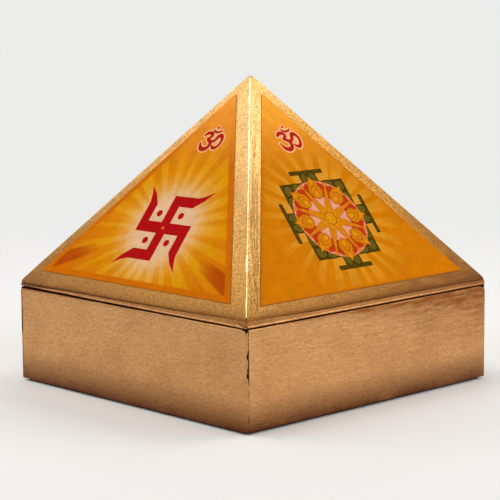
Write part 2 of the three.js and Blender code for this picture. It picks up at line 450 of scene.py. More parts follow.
def smooth_line(corners: Sequence[tuple[float, float]], steps: int) -> Array:
    """A smooth line through the corners: cubics, each of whose ends runs parallel to its neighbours' chord.

    Args:
        corners: Points that the line passes through.
        steps: Steps to each stretch.

    Returns:
        Points of the line.
    """
    fixed = np.asarray(corners, float)
    padded = np.concatenate((2 * fixed[:1] - fixed[1:2], fixed, 2 * fixed[-1:] - fixed[-2:-1]))
    t = np.linspace(0, 1, steps, endpoint=False)[None, :, None]
    a, b, c, d = (padded[i : len(padded) - 3 + i, None, :] for i in range(4))
    run = b + 0.5 * t * ((c - a) + t * ((2 * a - 5 * b + 4 * c - d) + t * (3 * (b - c) + d - a)))
    return np.concatenate((run.reshape(-1, 2), fixed[-1:]))


def place_piece(
    name: str,
    surface: Surface,
    body: str,
    finishes: Sequence["Finish"],
    stands_for: Sequence[str] = (),
    sharp_over: float = 40.0,
) -> bpy.types.Object:
    """Turn a surface into a piece that rides on a body of the frame.

    Args:
        name: The piece's name.
        surface: Its shape, in millimetres.
        body: The body that it moves with.
        finishes: Its finishes, in the order that the surface numbers them.
        stands_for: CAD nodes that it is shown in place of.
        sharp_over: Angle between two faces, in degrees, past which their edge stays sharp.

    Returns:
        The piece.
    """
    mesh = surface.mesh(name)
    if surface.uv is not None:
        layer = mesh.uv_layers.new(name="print")
        corners = np.empty(len(mesh.loops), np.int32)
        mesh.loops.foreach_get("vertex_index", corners)
        layer.data.foreach_set("uv", surface.uv[corners].astype(np.float32).ravel())
    if surface.grime is not None:
        darkening = mesh.attributes.new("grime", "FLOAT", "POINT")
        darkening.data.foreach_set("value", np.clip(surface.grime, 0, 1).astype(np.float32))
    for finish in finishes:
        mesh.materials.append(finish.material())
    if surface.slots:
        numbers = np.repeat(surface.slots, [len(group) for group in surface.faces])
        mesh.polygons.foreach_set("material_index", np.minimum(numbers, len(finishes) - 1).astype(np.int32))
    mesh.polygons.foreach_set("use_smooth", np.ones(len(mesh.polygons), bool))
    mesh.set_sharp_from_angle(angle=math.radians(sharp_over))
    mesh.update()
    piece = bpy.data.objects.new(name, mesh)
    bpy.context.scene.collection.objects.link(piece)
    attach(piece, body)
    if stands_for:
        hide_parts(*stands_for)
    log.info("%s: %d faces on %s", name, len(mesh.polygons), body)
    return piece


# Finishes

# Where most values of a noise texture lie
NOISE_SPAN = {"From Min": 0.3, "From Max": 0.7}

# Settings of a ramp with soft ends, of a mix of two colours, and of one colour that darkens another
EASED = {"interpolation_type": "SMOOTHSTEP"}
COLOURS = {"data_type": "RGBA"}
DARKENED = {"data_type": "RGBA", "blend_type": "MULTIPLY"}


def linear(colour: str) -> tuple[float, float, float, float]:
    """An sRGB hex colour as the linear one that a shader takes.

    Args:
        colour: Six hex digits after a #.

    Returns:
        Red, green, blue and an alpha of 1.
    """
    shares = [int(colour[i : i + 2], 16) / 255 for i in (1, 3, 5)]
    red, green, blue = (v / 12.92 if v <= 0.04045 else ((v + 0.055) / 1.055) ** 2.4 for v in shares)
    return red, green, blue, 1.0


def per_metre(size: float) -> float:
    """How many features of a size in millimetres fit in a metre: the scale of a pattern with that size."""
    return 1 / (size * MM)


def add_node(
    tree: bpy.types.NodeTree,
    kind: str,
    settings: Optional[Mapping[Key, Any]] = None,
    links: Optional[Mapping[Key, Source]] = None,
) -> Node:
    """Add one node to a tree.

    Args:
        tree: The tree that it goes into.
        kind: Its type, without the ShaderNode that each type's name starts with.
        settings: Its own settings by name, and values of its input sockets by name or number.
        links: For an input socket's name or number, the output that feeds it, or a node for its first.

    Returns:
        The node.
    """
    node = tree.nodes.new(f"ShaderNode{kind}")
    for key, value in (settings or {}).items():
        if isinstance(key, str) and hasattr(node, key):
            setattr(node, key, value)
        else:
            node.inputs[key].default_value = value
    for key, source in (links or {}).items():
        if isinstance(source, Node):
            source = next(output for output in source.outputs if output.enabled)
        tree.links.new(source, node.inputs[key])
    return node


@dataclass(frozen=True)
class Finish:
    """What a surface is made of and how it was made.

    Attributes:
        name: The finish's plain name, which the material takes.
    """

    name: str

    def material(self) -> bpy.types.Material:
        """The finish's material, made the first time that it is asked for.

        Returns:
            The material.
        """
        found = bpy.data.materials.get(self.name)
        if found:
            return found
        made = bpy.data.materials.new(self.name)
        made.use_nodes = True
        made.node_tree.nodes.clear()
        shader = self.shader(partial(add_node, made.node_tree))
        add_node(made.node_tree, "OutputMaterial", links={"Surface": shader})
        return made

    def shader(self, add: Adder) -> Node:
        """Add the finish's nodes to an empty tree.

        Args:
            add: Adds one node to the tree: add_node without its first argument.

        Returns:
            The shader's node.
        """
        raise NotImplementedError


@dataclass(frozen=True)
class GrainedMetal(Finish):
    """Thin metal laid by hand over a ground: it keeps the ground's grain, and small flecks catch light.

    Attributes:
        middle: Colour of most of it.
        dark: Colour of its duller areas.
        grain: Size of a fleck.
        cloud: Size of the duller areas.
        relief: Height of the grain.
        roughness: Mean roughness.
        metallic: How metallic it is.
        fleck: How much lighter or darker a fleck is, from 0 to 1.
        toned: Colour painted at the foot: painted shade on most finishes, a painted highlight on the rim's.
        toned_from: Level of that foot.
        toned_to: Level where that painted colour has faded out.
        toned_power: Power of the share of that height that gives how far it has faded.
        tip: Colour of most of it at the top, which paints the top lighter or darker by height.
        tip_at: Level of that top.
        stain_and_shade: Colour that scales it where the piece's grime and painted shade is half of full.
        soil_and_shade: Colour that also scales it where they are full.
        stretch: How many times longer a fleck is along the level than upwards.
        gloss_span: How far the roughness of a fleck lies from the mean.
    """

    middle: str
    dark: str
    grain: float
    cloud: float
    relief: float
    roughness: float
    metallic: float
    fleck: float
    toned: str
    toned_from: float
    toned_to: float
    toned_power: float
    tip: str
    tip_at: float
    stain_and_shade: str
    soil_and_shade: str
    stretch: float
    gloss_span: float = 0.1

    def shader(self, add: Adder) -> Node:
        """Wide noise makes areas dull, and fine noise gives the flecks, the gloss and the relief."""
        where = add("TexCoord").outputs["Object"]
        drawn_out = add("Mapping", {"Scale": (1.0, 1.0, self.stretch)}, {"Vector": where})
        grain = {"Scale": per_metre(self.grain), "Detail": 2.0, "Roughness": 0.65}
        fine = add("TexNoise", grain, {"Vector": drawn_out})
        cloud = {"Scale": per_metre(self.cloud), "Detail": 4.0, "Roughness": 0.6}
        wide = add("TexNoise", cloud, {"Vector": where})
        patch = add("MapRange", {"From Min": 0.42, "From Max": 0.75, "To Max": 0.45}, {0: wide})
        toned = self.toned_metal(add, where)
        dulled = add("Mix", {**COLOURS, 7: linear(self.dark)}, {0: patch, 6: toned})
        lightness = {**NOISE_SPAN, "To Min": 1 - self.fleck, "To Max": 1 + self.fleck}
        fleck = add("MapRange", lightness, {0: fine})
        flecked = add("VectorMath", {"operation": "SCALE"}, {0: dulled, "Scale": fleck})
        dull, bright = self.roughness + self.gloss_span, self.roughness - self.gloss_span
        gloss = add("MapRange", {**NOISE_SPAN, "To Min": dull, "To Max": bright}, {0: fine})
        bump = add("Bump", {"Strength": 1.0, "Distance": self.relief * MM}, {"Height": fine})
        looks = {"Base Color": self.with_grime_and_shade(add, flecked), "Roughness": gloss, "Normal": bump}
        return add("BsdfPrincipled", {"Metallic": self.metallic}, looks)

    def toned_metal(self, add: Adder, where: bpy.types.NodeSocket) -> Node:
        """The metal's colour by height, painted light and shade: the foot's colour at the foot, plain above
        it, and the tip's at the top.

        Args:
            add: Adds one node to the tree.
            where: The place on the object.

        Returns:
            The colour.
        """
        level = add("SeparateXYZ", links={0: where}).outputs[2]
        foot, shoulder, top = self.toned_from * MM, self.toned_to * MM, self.tip_at * MM
        share = add("MapRange", {"From Min": foot, "From Max": shoulder}, {0: level})
        foot_colour_faded = add("Math", {"operation": "POWER", 1: self.toned_power}, {0: share})
        height = add("MapRange", {"From Min": shoulder, "From Max": top}, {0: level})
        upper = add("Mix", {**COLOURS, 6: linear(self.middle), 7: linear(self.tip)}, {0: height})
        return add("Mix", {**COLOURS, 6: linear(self.toned)}, {0: foot_colour_faded, 7: upper})

    def with_grime_and_shade(self, add: Adder, colour: Node) -> Node:
        """The colour under the piece's grime and painted shade: darkened by one colour up to half of full,
        and by a second past it.

        Args:
            add: Adds one node to the tree.
            colour: The clean colour.

        Returns:
            The colour with its grime.
        """
        darkening = add("Attribute", {"attribute_name": "grime"}).outputs["Fac"]
        thin = add("MapRange", {"From Max": 0.5}, {0: darkening})
        thick = add("MapRange", {"From Min": 0.5}, {0: darkening})
        stain_and_shade = add("Mix", {**DARKENED, 7: linear(self.stain_and_shade)}, {0: thin, 6: colour})
        return add("Mix", {**DARKENED, 7: linear(self.soil_and_shade)}, {0: thick, 6: stain_and_shade})


@dataclass(frozen=True)
class Timber(Finish):
    """Sanded softwood board, left bare: pale, with darker late wood in long lines along the board.

    Attributes:
        light: Colour of the early wood.
        dark: Colour of the late wood.
        ring: Distance between two growth rings on the face.
        turn: Angle in degrees from X to the way that the grain runs.
        pore: Width of a pore.
        pull: What the pattern is scaled by along the grain.
    """

    light: str
    dark: str
    ring: float
    turn: float
    pore: float = 0.35
    pull: float = 0.06

    def shader(self, add: Adder) -> Node:
        """Noise stretched along the board gives its bands, and finer stretched noise its pores."""
        where = add("TexCoord").outputs["Object"]
        lie = {"Rotation": (0.0, 0.0, math.radians(-self.turn)), "Scale": (self.pull, 1.0, 1.0)}
        along = add("Mapping", lie, {"Vector": where})
        rings = {"Scale": per_metre(self.ring), "Detail": 3.0, "Roughness": 0.55, "Distortion": 0.4}
        bands = add("TexNoise", rings, {"Vector": along})
        fine = {"Scale": per_metre(self.pore), "Detail": 2.0, "Roughness": 0.6}
        pores = add("TexNoise", fine, {"Vector": along})
        late = add("MapRange", {"From Min": 0.42, "From Max": 0.66}, {0: bands})
        fibre = add("MapRange", {"From Min": 0.5, "From Max": 0.75, "To Max": 0.35}, {0: pores})
        face = add("Mix", {**COLOURS, 6: linear(self.light), 7: linear(self.dark)}, {0: late})
        wood = add("Mix", {**COLOURS, 7: linear(self.dark)}, {0: fibre, 6: face})
        bump = add("Bump", {"Strength": 0.6, "Distance": 0.03 * MM}, {"Height": pores})
        return add("BsdfPrincipled", {"Roughness": 0.7}, {"Base Color": wood, "Normal": bump})


@dataclass(frozen=True)
class Felt(Finish):
    """Pressed wool felt: matt, with a soft sheen from the loose fibres on its face.

    Attributes:
        colour: Colour of the wool.
        lint: Colour of the lighter fibres.
        fibre: Width of a tuft of fibres.
    """

    colour: str
    lint: str
    fibre: float

    def shader(self, add: Adder) -> Node:
        """Tangled noise lightens some fibres and lifts them."""
        where = add("TexCoord").outputs["Object"]
        tufts = {"Scale": per_metre(self.fibre), "Detail": 5.0, "Roughness": 0.7, "Distortion": 1.5}
        tangle = add("TexNoise", tufts, {"Vector": where})
        loose = add("MapRange", {"From Min": 0.5, "From Max": 0.75, "To Max": 0.7}, {0: tangle})
        wool = add("Mix", {**COLOURS, 6: linear(self.colour), 7: linear(self.lint)}, {0: loose})
        bump = add("Bump", {"Strength": 1.0, "Distance": 0.12 * MM}, {"Height": tangle})
        matt = {"Roughness": 0.95, "Sheen Weight": 0.1, "Sheen Roughness": 0.6}
        return add("BsdfPrincipled", matt, {"Base Color": wool, "Normal": bump})


@dataclass(frozen=True)
class PressedCopper(Finish):
    """Copper sheet pressed in a die and never polished: bright, with browned patches that are duller.

    Attributes:
        bright: Colour of clean copper.
        browned: Colour of tarnished copper.
        tarnish: Size of the browned areas.
    """

    bright: str
    browned: str
    tarnish: float

    def shader(self, add: Adder) -> Node:
        """Wide noise browns the sheet in patches and makes them duller."""
        where = add("TexCoord").outputs["Object"]
        areas = {"Scale": per_metre(self.tarnish), "Detail": 5.0, "Roughness": 0.6}
        patches = add("TexNoise", areas, {"Vector": where})
        amount = add("MapRange", {"From Min": 0.42, "From Max": 0.7, "To Max": 0.8}, {0: patches})
        copper = add("Mix", {**COLOURS, 6: linear(self.bright), 7: linear(self.browned)}, {0: amount})
        gloss = add("MapRange", {"To Min": 0.28, "To Max": 0.5}, {0: amount})
        return add("BsdfPrincipled", {"Metallic": 1.0}, {"Base Color": copper, "Roughness": gloss})


@dataclass(frozen=True)
class DrawnSteel(Finish):
    """Plain steel wire, drawn to its width, with its die lines along it.

    Attributes:
        colour: Colour of the steel.
        line: Distance between two die lines.
    """

    colour: str
    line: float

    def shader(self, add: Adder) -> Node:
        """Noise stretched upwards roughens the wire in lines."""
        where = add("TexCoord").outputs["Object"]
        upright = add("Mapping", {"Scale": (1.0, 1.0, 0.05)}, {"Vector": where})
        lines = add("TexNoise", {"Scale": per_metre(self.line), "Detail": 2.0}, {"Vector": upright})
        gloss = add("MapRange", {"To Min": 0.25, "To Max": 0.45}, {0: lines})
        bump = add("Bump", {"Strength": 0.4, "Distance": 0.01 * MM}, {"Height": lines})
        steel = {"Metallic": 1.0, "Base Color": linear(self.colour)}
        return add("BsdfPrincipled", steel, {"Roughness": gloss, "Normal": bump})


@dataclass(frozen=True)
class Coat(Finish):
    """A thin coat of one colour on paper, such as printing ink or dried glue: even, with faint mottling.

    Attributes:
        colour: Colour of most of it.
        shade: Colour of the mottling.
        mottle: Size of the mottling.
        roughness: Its roughness.
    """

    colour: str
    shade: str
    mottle: float
    roughness: float

    def shader(self, add: Adder) -> Node:
        """Noise at the size of the mottling mixes the two colours."""
        where = add("TexCoord").outputs["Object"]
        mottling = {"Scale": per_metre(self.mottle), "Detail": 3.0, "Roughness": 0.6}
        spots = add("TexNoise", mottling, {"Vector": where})
        amount = add("MapRange", {"From Min": 0.35, "From Max": 0.7}, {0: spots})
        ink = add("Mix", {**COLOURS, 6: linear(self.colour), 7: linear(self.shade)}, {0: amount})
        bump = add("Bump", {"Strength": 0.3, "Distance": 0.01 * MM}, {"Height": spots})
        satin = {"Roughness": self.roughness, "Specular IOR Level": PRINT_SPECULAR}
        return add("BsdfPrincipled", satin, {"Base Color": ink, "Normal": bump})


@dataclass(frozen=True)
class Sunburst(Finish):
    """Satin paper label printed in orange, with a glow round the sign and rays that run out of it, and a
    painted light toward its tip.

    Attributes:
        centre: Place of the glow, along and up the slope.
        glow: Colour at the centre.
        halo: Colour where the glow ends.
        ray: Colour of the light rays.
        field: Colour between the rays.
        rim: Colour far from the centre.
        corner: Colour of the ray that ends in either lower corner.
        band: Colour of the plain band round the edge.
        band_width: Width of that band.
        glow_radius: Where the glow has faded into the rays.
        rays_from: Where the rays begin.
        rays_to: Where the rays have faded.
        rays: How many light rays there are.
        first_ray: Angle in degrees from the label's right to the first of them.
        contrast: How strongly the rays show, from 0 to 1.
        corner_strength: How strongly the corner rays show, from 0 to 1.
        tip: Colour at the label's tip, a painted light.
        label: The label that it is printed on.
        corner_ray: Angle in degrees between a corner ray's middle and straight down.
        corner_edge: Angles from its middle where a corner ray ends and where it is full.
        corner_span: Where the corner rays set in, and where they are full.
        rim_span: Where the field starts to take the rim's colour, and where it has it.
        tip_from: Distance up the slope where the painted light of the tip sets in.
    """

    centre: tuple[float, float]
    glow: str
    halo: str
    ray: str
    field: str
    rim: str
    corner: str
    band: str
    band_width: float
    glow_radius: float
    rays_from: float
    rays_to: float
    rays: int
    first_ray: float
    contrast: float
    corner_strength: float
    tip: str
    label: Optional["Label"] = None
    corner_ray: float = 67.8
    corner_edge: tuple[float, float] = (4.4, 3.2)
    corner_span: tuple[float, float] = (22.0, 34.0)
    rim_span: tuple[float, float] = (12.0, 36.0)
    tip_from: float = 42.0

    def shader(self, add: Adder) -> Node:
        """Faint noise tones the print, and finer noise lifts the paper's fibres."""
        where = add("TexCoord").outputs["Object"]
        uneven = {"Scale": per_metre(4.0), "Detail": 5.0, "Roughness": 0.85}
        wash = add("TexNoise", uneven, {"Vector": where})
        tone = add("MapRange", {**NOISE_SPAN, "To Min": 0.86, "To Max": 1.12}, {0: wash})
        toned = add("VectorMath", {"operation": "SCALE"}, {0: self.print_colour(add), "Scale": tone})
        fibres = {"Scale": per_metre(0.5), "Detail": 3.0, "Roughness": 0.6}
        paper = add("TexNoise", fibres, {"Vector": where})
        bump = add("Bump", {"Strength": 0.35, "Distance": 0.012 * MM}, {"Height": paper})
        satin = {"Roughness": 0.5, "Specular IOR Level": PRINT_SPECULAR}
        return add("BsdfPrincipled", satin, {"Base Color": toned, "Normal": bump})

    def print_colour(self, add: Adder) -> Node:
        """Lay each colour over those before it, by an amount from 0 to 1.

        Args:
            add: Adds one node to the tree.

        Returns:
            The print's colour.
        """
        side = self.label.print_side
        spread = {"Scale": (side, side, 1.0), "Location": (-side / 2, 0.0, 0.0)}
        on_label = add("Mapping", spread, {"Vector": add("UVMap", {"uv_map": "print"})})
        from_centre = add("VectorMath", {"operation": "SUBTRACT", 1: (*self.centre, 0.0)}, {0: on_label})
        radius = add("VectorMath", {"operation": "LENGTH"}, {0: from_centre})
        out = add("SeparateXYZ", links={0: from_centre}).outputs
        spot = add("SeparateXYZ", links={0: on_label}).outputs
        in_ray = self.in_ray(add, from_centre, out)
        near, far = self.rim_span
        outwards = add("MapRange", {**EASED, "From Min": near, "From Max": far}, {0: radius})
        printed = add("Mix", {**COLOURS, 6: linear(self.field), 7: linear(self.rim)}, {0: outwards})
        carried = add("Math", {"operation": "MULTIPLY_ADD", 1: -0.12, 2: 1.05}, {0: in_ray})
        glow_place = add("Math", {"operation": "MULTIPLY"}, {0: radius, 1: carried})
        wide = self.glow_radius
        ends = ((wide, wide * 0.5), (wide * 0.78, wide * 0.4))
        ramps = ({**EASED, "From Min": faded, "From Max": full} for faded, full in ends)
        halo, glow = (add("MapRange", ramp, {0: glow_place}) for ramp in ramps)
        upwards = {**EASED, "From Min": self.tip_from, "From Max": self.label.tip}
        painted_tip_light = add("MapRange", upwards, {0: spot[1]})
        layers = (
            (self.shown_ray(add, radius, in_ray), self.ray),
            (self.in_corner_ray(add, out, radius), self.corner),
            (halo, self.halo),
            (glow, self.glow),
            (self.in_band(add, spot), self.band),
            (painted_tip_light, self.tip),
        )
        for amount, colour in layers:
            printed = add("Mix", {**COLOURS, 7: linear(colour)}, {0: amount, 6: printed})
        return printed

    def in_ray(self, add: Adder, from_centre: Node, out: Outputs) -> Node:
        """1 in a light ray and 0 between two: an even wave of the angle plus noise of it, sharpened.

        Args:
            add: Adds one node to the tree.
            from_centre: The place, from the glow's centre.
            out: The same, split into along and up.

        Returns:
            The amount.
        """
        angle = add("Math", {"operation": "ARCTAN2"}, {0: out[1], 1: out[0]})
        start = -self.rays * math.radians(self.first_ray)
        turns = add("Math", {"operation": "MULTIPLY_ADD", 1: float(self.rays), 2: start}, {0: angle})
        even = add("Math", {"operation": "COSINE"}, {0: turns})
        way = add("VectorMath", {"operation": "NORMALIZE"}, {0: from_centre})
        uneven = add("TexNoise", {"Scale": 5.5, "Detail": 1.0, "Roughness": 0.5}, {"Vector": way})
        both = add("Math", {"operation": "MULTIPLY_ADD", 1: 5.0}, {0: uneven, 2: even})
        return add("MapRange", {**EASED, "From Min": 2.1, "From Max": 2.9}, {0: both})

    def shown_ray(self, add: Adder, radius: Node, in_ray: Node) -> Node:
        """How strongly a ray shows: it sets in past the glow and fades outwards.

        Args:
            add: Adds one node to the tree.
            radius: Distance from the glow's centre.
            in_ray: 1 in a ray and 0 between two.

        Returns:
            The strength.
        """
        set_in = {"From Min": self.rays_from, "From Max": self.rays_from + 3.0, "To Max": self.contrast}
        fade = {"From Min": self.rays_from + 4.0, "From Max": self.rays_to, "To Min": 1.0, "To Max": 0.0}
        begin, end = (add("MapRange", ramp, {0: radius}) for ramp in (set_in, fade))
        shown = add("Math", {"operation": "MULTIPLY"}, {0: begin, 1: end})
        return add("Math", {"operation": "MULTIPLY"}, {0: shown, 1: in_ray})

    def in_corner_ray(self, add: Adder, out: Outputs, radius: Node) -> Node:
        """How strongly the ray shows that ends in either lower corner: by its angle from straight down.

        Args:
            add: Adds one node to the tree.
            out: The place from the glow's centre, split into along and up.
            radius: Its distance from there.

        Returns:
            The strength.
        """
        across = add("Math", {"operation": "ABSOLUTE"}, {0: out[0]})
        down = add("Math", {"operation": "MULTIPLY", 1: -1.0}, {0: out[1]})
        lean = add("Math", {"operation": "ARCTAN2"}, {0: across, 1: down})
        aside = add("Math", {"operation": "SUBTRACT", 1: math.radians(self.corner_ray)}, {0: lean})
        off_ray = add("Math", {"operation": "ABSOLUTE"}, {0: aside})
        outer, inner = (math.radians(angle) for angle in self.corner_edge)
        edge = {"From Min": outer, "From Max": inner, "To Max": self.corner_strength}
        inside = add("MapRange", edge, {0: off_ray})
        near, far = self.corner_span
        begun = add("MapRange", {**EASED, "From Min": near, "From Max": far}, {0: radius})
        return add("Math", {"operation": "MULTIPLY"}, {0: inside, 1: begun})

    def in_band(self, add: Adder, spot: Outputs) -> Node:
        """1 where the distance to the nearest edge is less than the band's width.

        Args:
            add: Adds one node to the tree.
            spot: The place on the label, split into along and up.

        Returns:
            The amount.
        """
        label = self.label
        middle = add("Math", {"operation": "MULTIPLY_ADD", 1: label.lean, 2: label.shift}, {0: spot[1]})
        off_middle = add("Math", {"operation": "SUBTRACT"}, {0: spot[0], 1: middle})
        sideways = add("Math", {"operation": "ABSOLUTE"}, {0: off_middle})
        narrowing = {"operation": "MULTIPLY_ADD", 1: -label.taper, 2: label.half_at_zero}
        half = add("Math", narrowing, {0: spot[1]})
        beside = add("Math", {"operation": "SUBTRACT"}, {0: half, 1: sideways})
        square_to_hip = 1 / math.hypot(1, label.taper)
        from_hip = add("Math", {"operation": "MULTIPLY", 1: square_to_hip}, {0: beside})
        from_foot = add("Math", {"operation": "SUBTRACT", 1: label.foot}, {0: spot[1]})
        inside = add("Math", {"operation": "MINIMUM"}, {0: from_hip, 1: from_foot})
        edge = {"From Min": self.band_width + 0.25, "From Max": self.band_width - 0.25}
        return add("MapRange", edge, {0: inside})


# Copper-gold foil rubbed down over the boards: satin, fine orange-peel grain, with painted shade that
# darkens it toward its foot and a little toward its top
FOIL = GrainedMetal(
    name="copper_gold_foil",
    middle="#c18e5a",
    dark="#9d6c39",
    grain=1.15,
    cloud=13.0,
    relief=0.07,
    roughness=0.38,
    metallic=0.9,
    fleck=0.17,
    toned="#582806",
    toned_from=0.9,
    toned_to=9.9,
    toned_power=0.92,
    tip="#bb8a57",
    tip_at=28.8,
    stain_and_shade="#b28a4c",
    soil_and_shade="#2a1408",
    stretch=2.1,
)

# The same foil on the lid's rim, in a darker tone, with a painted highlight along its lower edge and
# painted shade up toward the groove
RIM_FOIL = replace(
    FOIL,
    name="rim_foil_with_painted_light_and_shade",
    middle="#a67340",
    dark="#714721",
    toned="#ab7949",
    toned_from=29.0,
    toned_to=30.0,
    tip="#916430",
    tip_at=31.2,
)

# Imitation gold leaf on a gritty ground: bright flecks and dull specks, with painted shade at the foot and
# painted light that grows toward the tip
LEAF = GrainedMetal(
    name="imitation_gold_leaf",
    middle="#a57734",
    dark="#7b5827",
    grain=0.42,
    cloud=16.0,
    relief=0.08,
    roughness=0.44,
    metallic=0.85,
    fleck=0.47,
    toned="#7b4d16",
    toned_from=30.0,
    toned_to=40.0,
    toned_power=0.6,
    tip="#d7aa6a",
    tip_at=88.0,
    stain_and_shade="#c3aa40",
    soil_and_shade="#3c2404",
    stretch=1.0,
)

# The leaf on the hips, rubbed down hard on the ridge: smoother, and painted much paler as a highlight line
BURNISHED_HIGHLIGHT_LEAF = replace(
    LEAF,
    name="burnished_leaf_with_painted_highlight",
    middle="#dfbd8e",
    dark="#b38d59",
    relief=0.03,
    roughness=0.34,
    fleck=0.35,
    toned="#cca36e",
    tip="#f3dcb7",
)

# Gold metallic paint brushed over sawn wood: brighter and smoother than the leaf, with painted shade at the
# foot and painted light at the tip
GOLD_PAINT = replace(
    LEAF,
    name="gold_metallic_paint",
    middle="#d6a443",
    dark="#926319",
    grain=0.5,
    cloud=9.0,
    relief=0.03,
    roughness=0.38,
    metallic=0.8,
    fleck=0.2,
    toned="#af7b2e",
    toned_from=21.8,
    toned_to=28.0,
    tip="#e3b555",
    tip_at=37.0,
)

# Bare sanded pine, with its grain along X or along Y
PINE_ALONG_X = Timber("sanded_pine_along_x", "#dcbf93", "#b98f5c", 2.6, 0.0)
PINE_ALONG_Y = Timber("sanded_pine_along_y", "#dcbf93", "#b98f5c", 2.6, 90.0)

# Black wool felt, which keeps the foot from scratching; its near-black also stands in for the contact
# shadow under the box, as painted shade
FELT_AND_CONTACT_SHADE = Felt("black_felt_and_painted_contact_shade", "#100e0d", "#292422", 0.35)

# Copper sheet, browned in patches
COPPER = PressedCopper("pressed_copper_sheet", "#d98a5b", "#8f5231", 12.0)

# Steel wire of the pins
PIN_STEEL = DrawnSteel("drawn_steel_wire", "#a3a19d", 0.08)

# Contact glue that has dried dark in the seams of the foil; the same near-black colours the foil's fold as
# painted shade
GLUE_AND_FOLD_SHADE = Coat("dried_glue_and_painted_fold_shade", "#210f08", "#30170b", 0.6, 0.6)

# Cut edge and back of the label's paper
PAPER = Coat("label_paper_core", "#c68b42", "#b37832", 0.4, 0.8)

# Printing inks of the labels, satin like the paper that they lie on
RED_INK = Coat("red_ink", "#b01012", "#9f0c0e", 1.6, 0.42)
CRIMSON_INK = Coat("crimson_ink", "#b41c12", "#9c1a12", 0.9, 0.42)
CREAM_INK = Coat("cream_ink", "#eeb27c", "#e6a266", 0.9, 0.45)
SPOT_INK = Coat("bright_orange_ink", "#e0702a", "#d8622a", 0.8, 0.42)
DARK_GREEN_INK = Coat("dark_green_ink", "#553f06", "#433004", 0.8, 0.42)
BLACK_GREEN_INK = Coat("black_green_ink", "#332904", "#2a2203", 0.8, 0.42)
LEAF_GREEN_INK = Coat("leaf_green_ink", "#675818", "#534810", 0.8, 0.42)
TAN_INK = Coat("tan_ink", "#d28e2a", "#c8821c", 1.2, 0.42)
CLAY_INK = Coat("salmon_orange_ink", "#d07c40", "#c8662c", 0.9, 0.42)
PINK_INK = Coat("pink_ink", "#d9997e", "#d28a70", 1.0, 0.42)
PETAL_INK = Coat("petal_red_ink", "#ba370d", "#a32e0c", 0.8, 0.42)
AMBER_INK = Coat("amber_ink", "#cc7e0c", "#c06e06", 0.9, 0.42)
RUST_INK = Coat("rust_ink", "#ab5006", "#9c4206", 0.8, 0.42)
HONEY_INK = Coat("honey_ink", "#d88a10", "#cc7e0a", 0.8, 0.42)
YELLOW_INK = Coat("yellow_ink", "#d6980e", "#ca8a0c", 0.6, 0.42)


# The slopes


@dataclass(frozen=True)
class Slope:
    """The front slope of the lid, as a plane to draw on: along its foot, up it, and lifted square to it.

    Attributes:
        foot_half: Half the length of the slope's foot.
        foot_z: Level of the foot.
        peak_z: Level where the four slopes would meet.
    """

    foot_half: float
    foot_z: float
    peak_z: float

    @property
    def rise(self) -> float:
        """Height gained for each millimetre inwards."""
        return (self.peak_z - self.foot_z) / self.foot_half

    @property
    def angle(self) -> float:
        """Angle between the slope and the level."""
        return math.atan(self.rise)

    def half_at(self, z: Array) -> Array:
        """Half the side of the pyramid at a level."""
        return (self.peak_z - z) / self.rise

    def point(self, along: Array, up: Array, lift: Any) -> Array:
        """The place of a point on the front slope.

        Args:
            along: Distance from the middle, to the right as seen from outside.
            up: Distance up the slope from its foot.
            lift: Distance off the slope, square to it, for each point or for all.

        Returns:
            x, y and z, in the last axis.
        """
        sine, cosine = math.sin(self.angle), math.cos(self.angle)
        y, z = up * cosine - lift * sine - self.foot_half, self.foot_z + up * sine + lift * cosine
        return xyz(along, y, z)


@dataclass(frozen=True)
class Sizes:
    """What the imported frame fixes, read from its nodes.

    Attributes:
        half_side: Half the outer side of the square.
        foil_bottom: Lower edge of the box's foil.
        box_top: Upper edge of the box.
        rim_bottom: Underside of the lid.
        rim_top: Upper face of the lid's rim.
        rim_inner: Half width of the opening inside the rim.
        slope: The front slope of the lid.
    """

    half_side: float
    foil_bottom: float
    box_top: float
    rim_bottom: float
    rim_top: float
    rim_inner: float
    slope: Slope

    @classmethod
    def read(cls) -> "Sizes":
        """Read them from the frame. The slopes meet where the leaf's tip would be without its mitre.

        Returns:
            The sizes, in millimetres.
        """
        foil_low, foil_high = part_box("base_foil_front")
        rim_low, rim_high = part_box("lid_rim_front")
        leaf_low, leaf_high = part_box("lid_leaf_front")
        foot, top = -leaf_low.y / MM, leaf_high.z / MM
        mitre = -leaf_high.y / MM
        rise = (top - leaf_low.z / MM) / (foot - mitre)
        return cls(
            half_side=-foil_low.y / MM,
            foil_bottom=foil_low.z / MM,
            box_top=foil_high.z / MM,
            rim_bottom=rim_low.z / MM,
            rim_top=rim_high.z / MM,
            rim_inner=-rim_high.y / MM,
            slope=Slope(foot, leaf_low.z / MM, top + mitre * rise),
        )


# The box


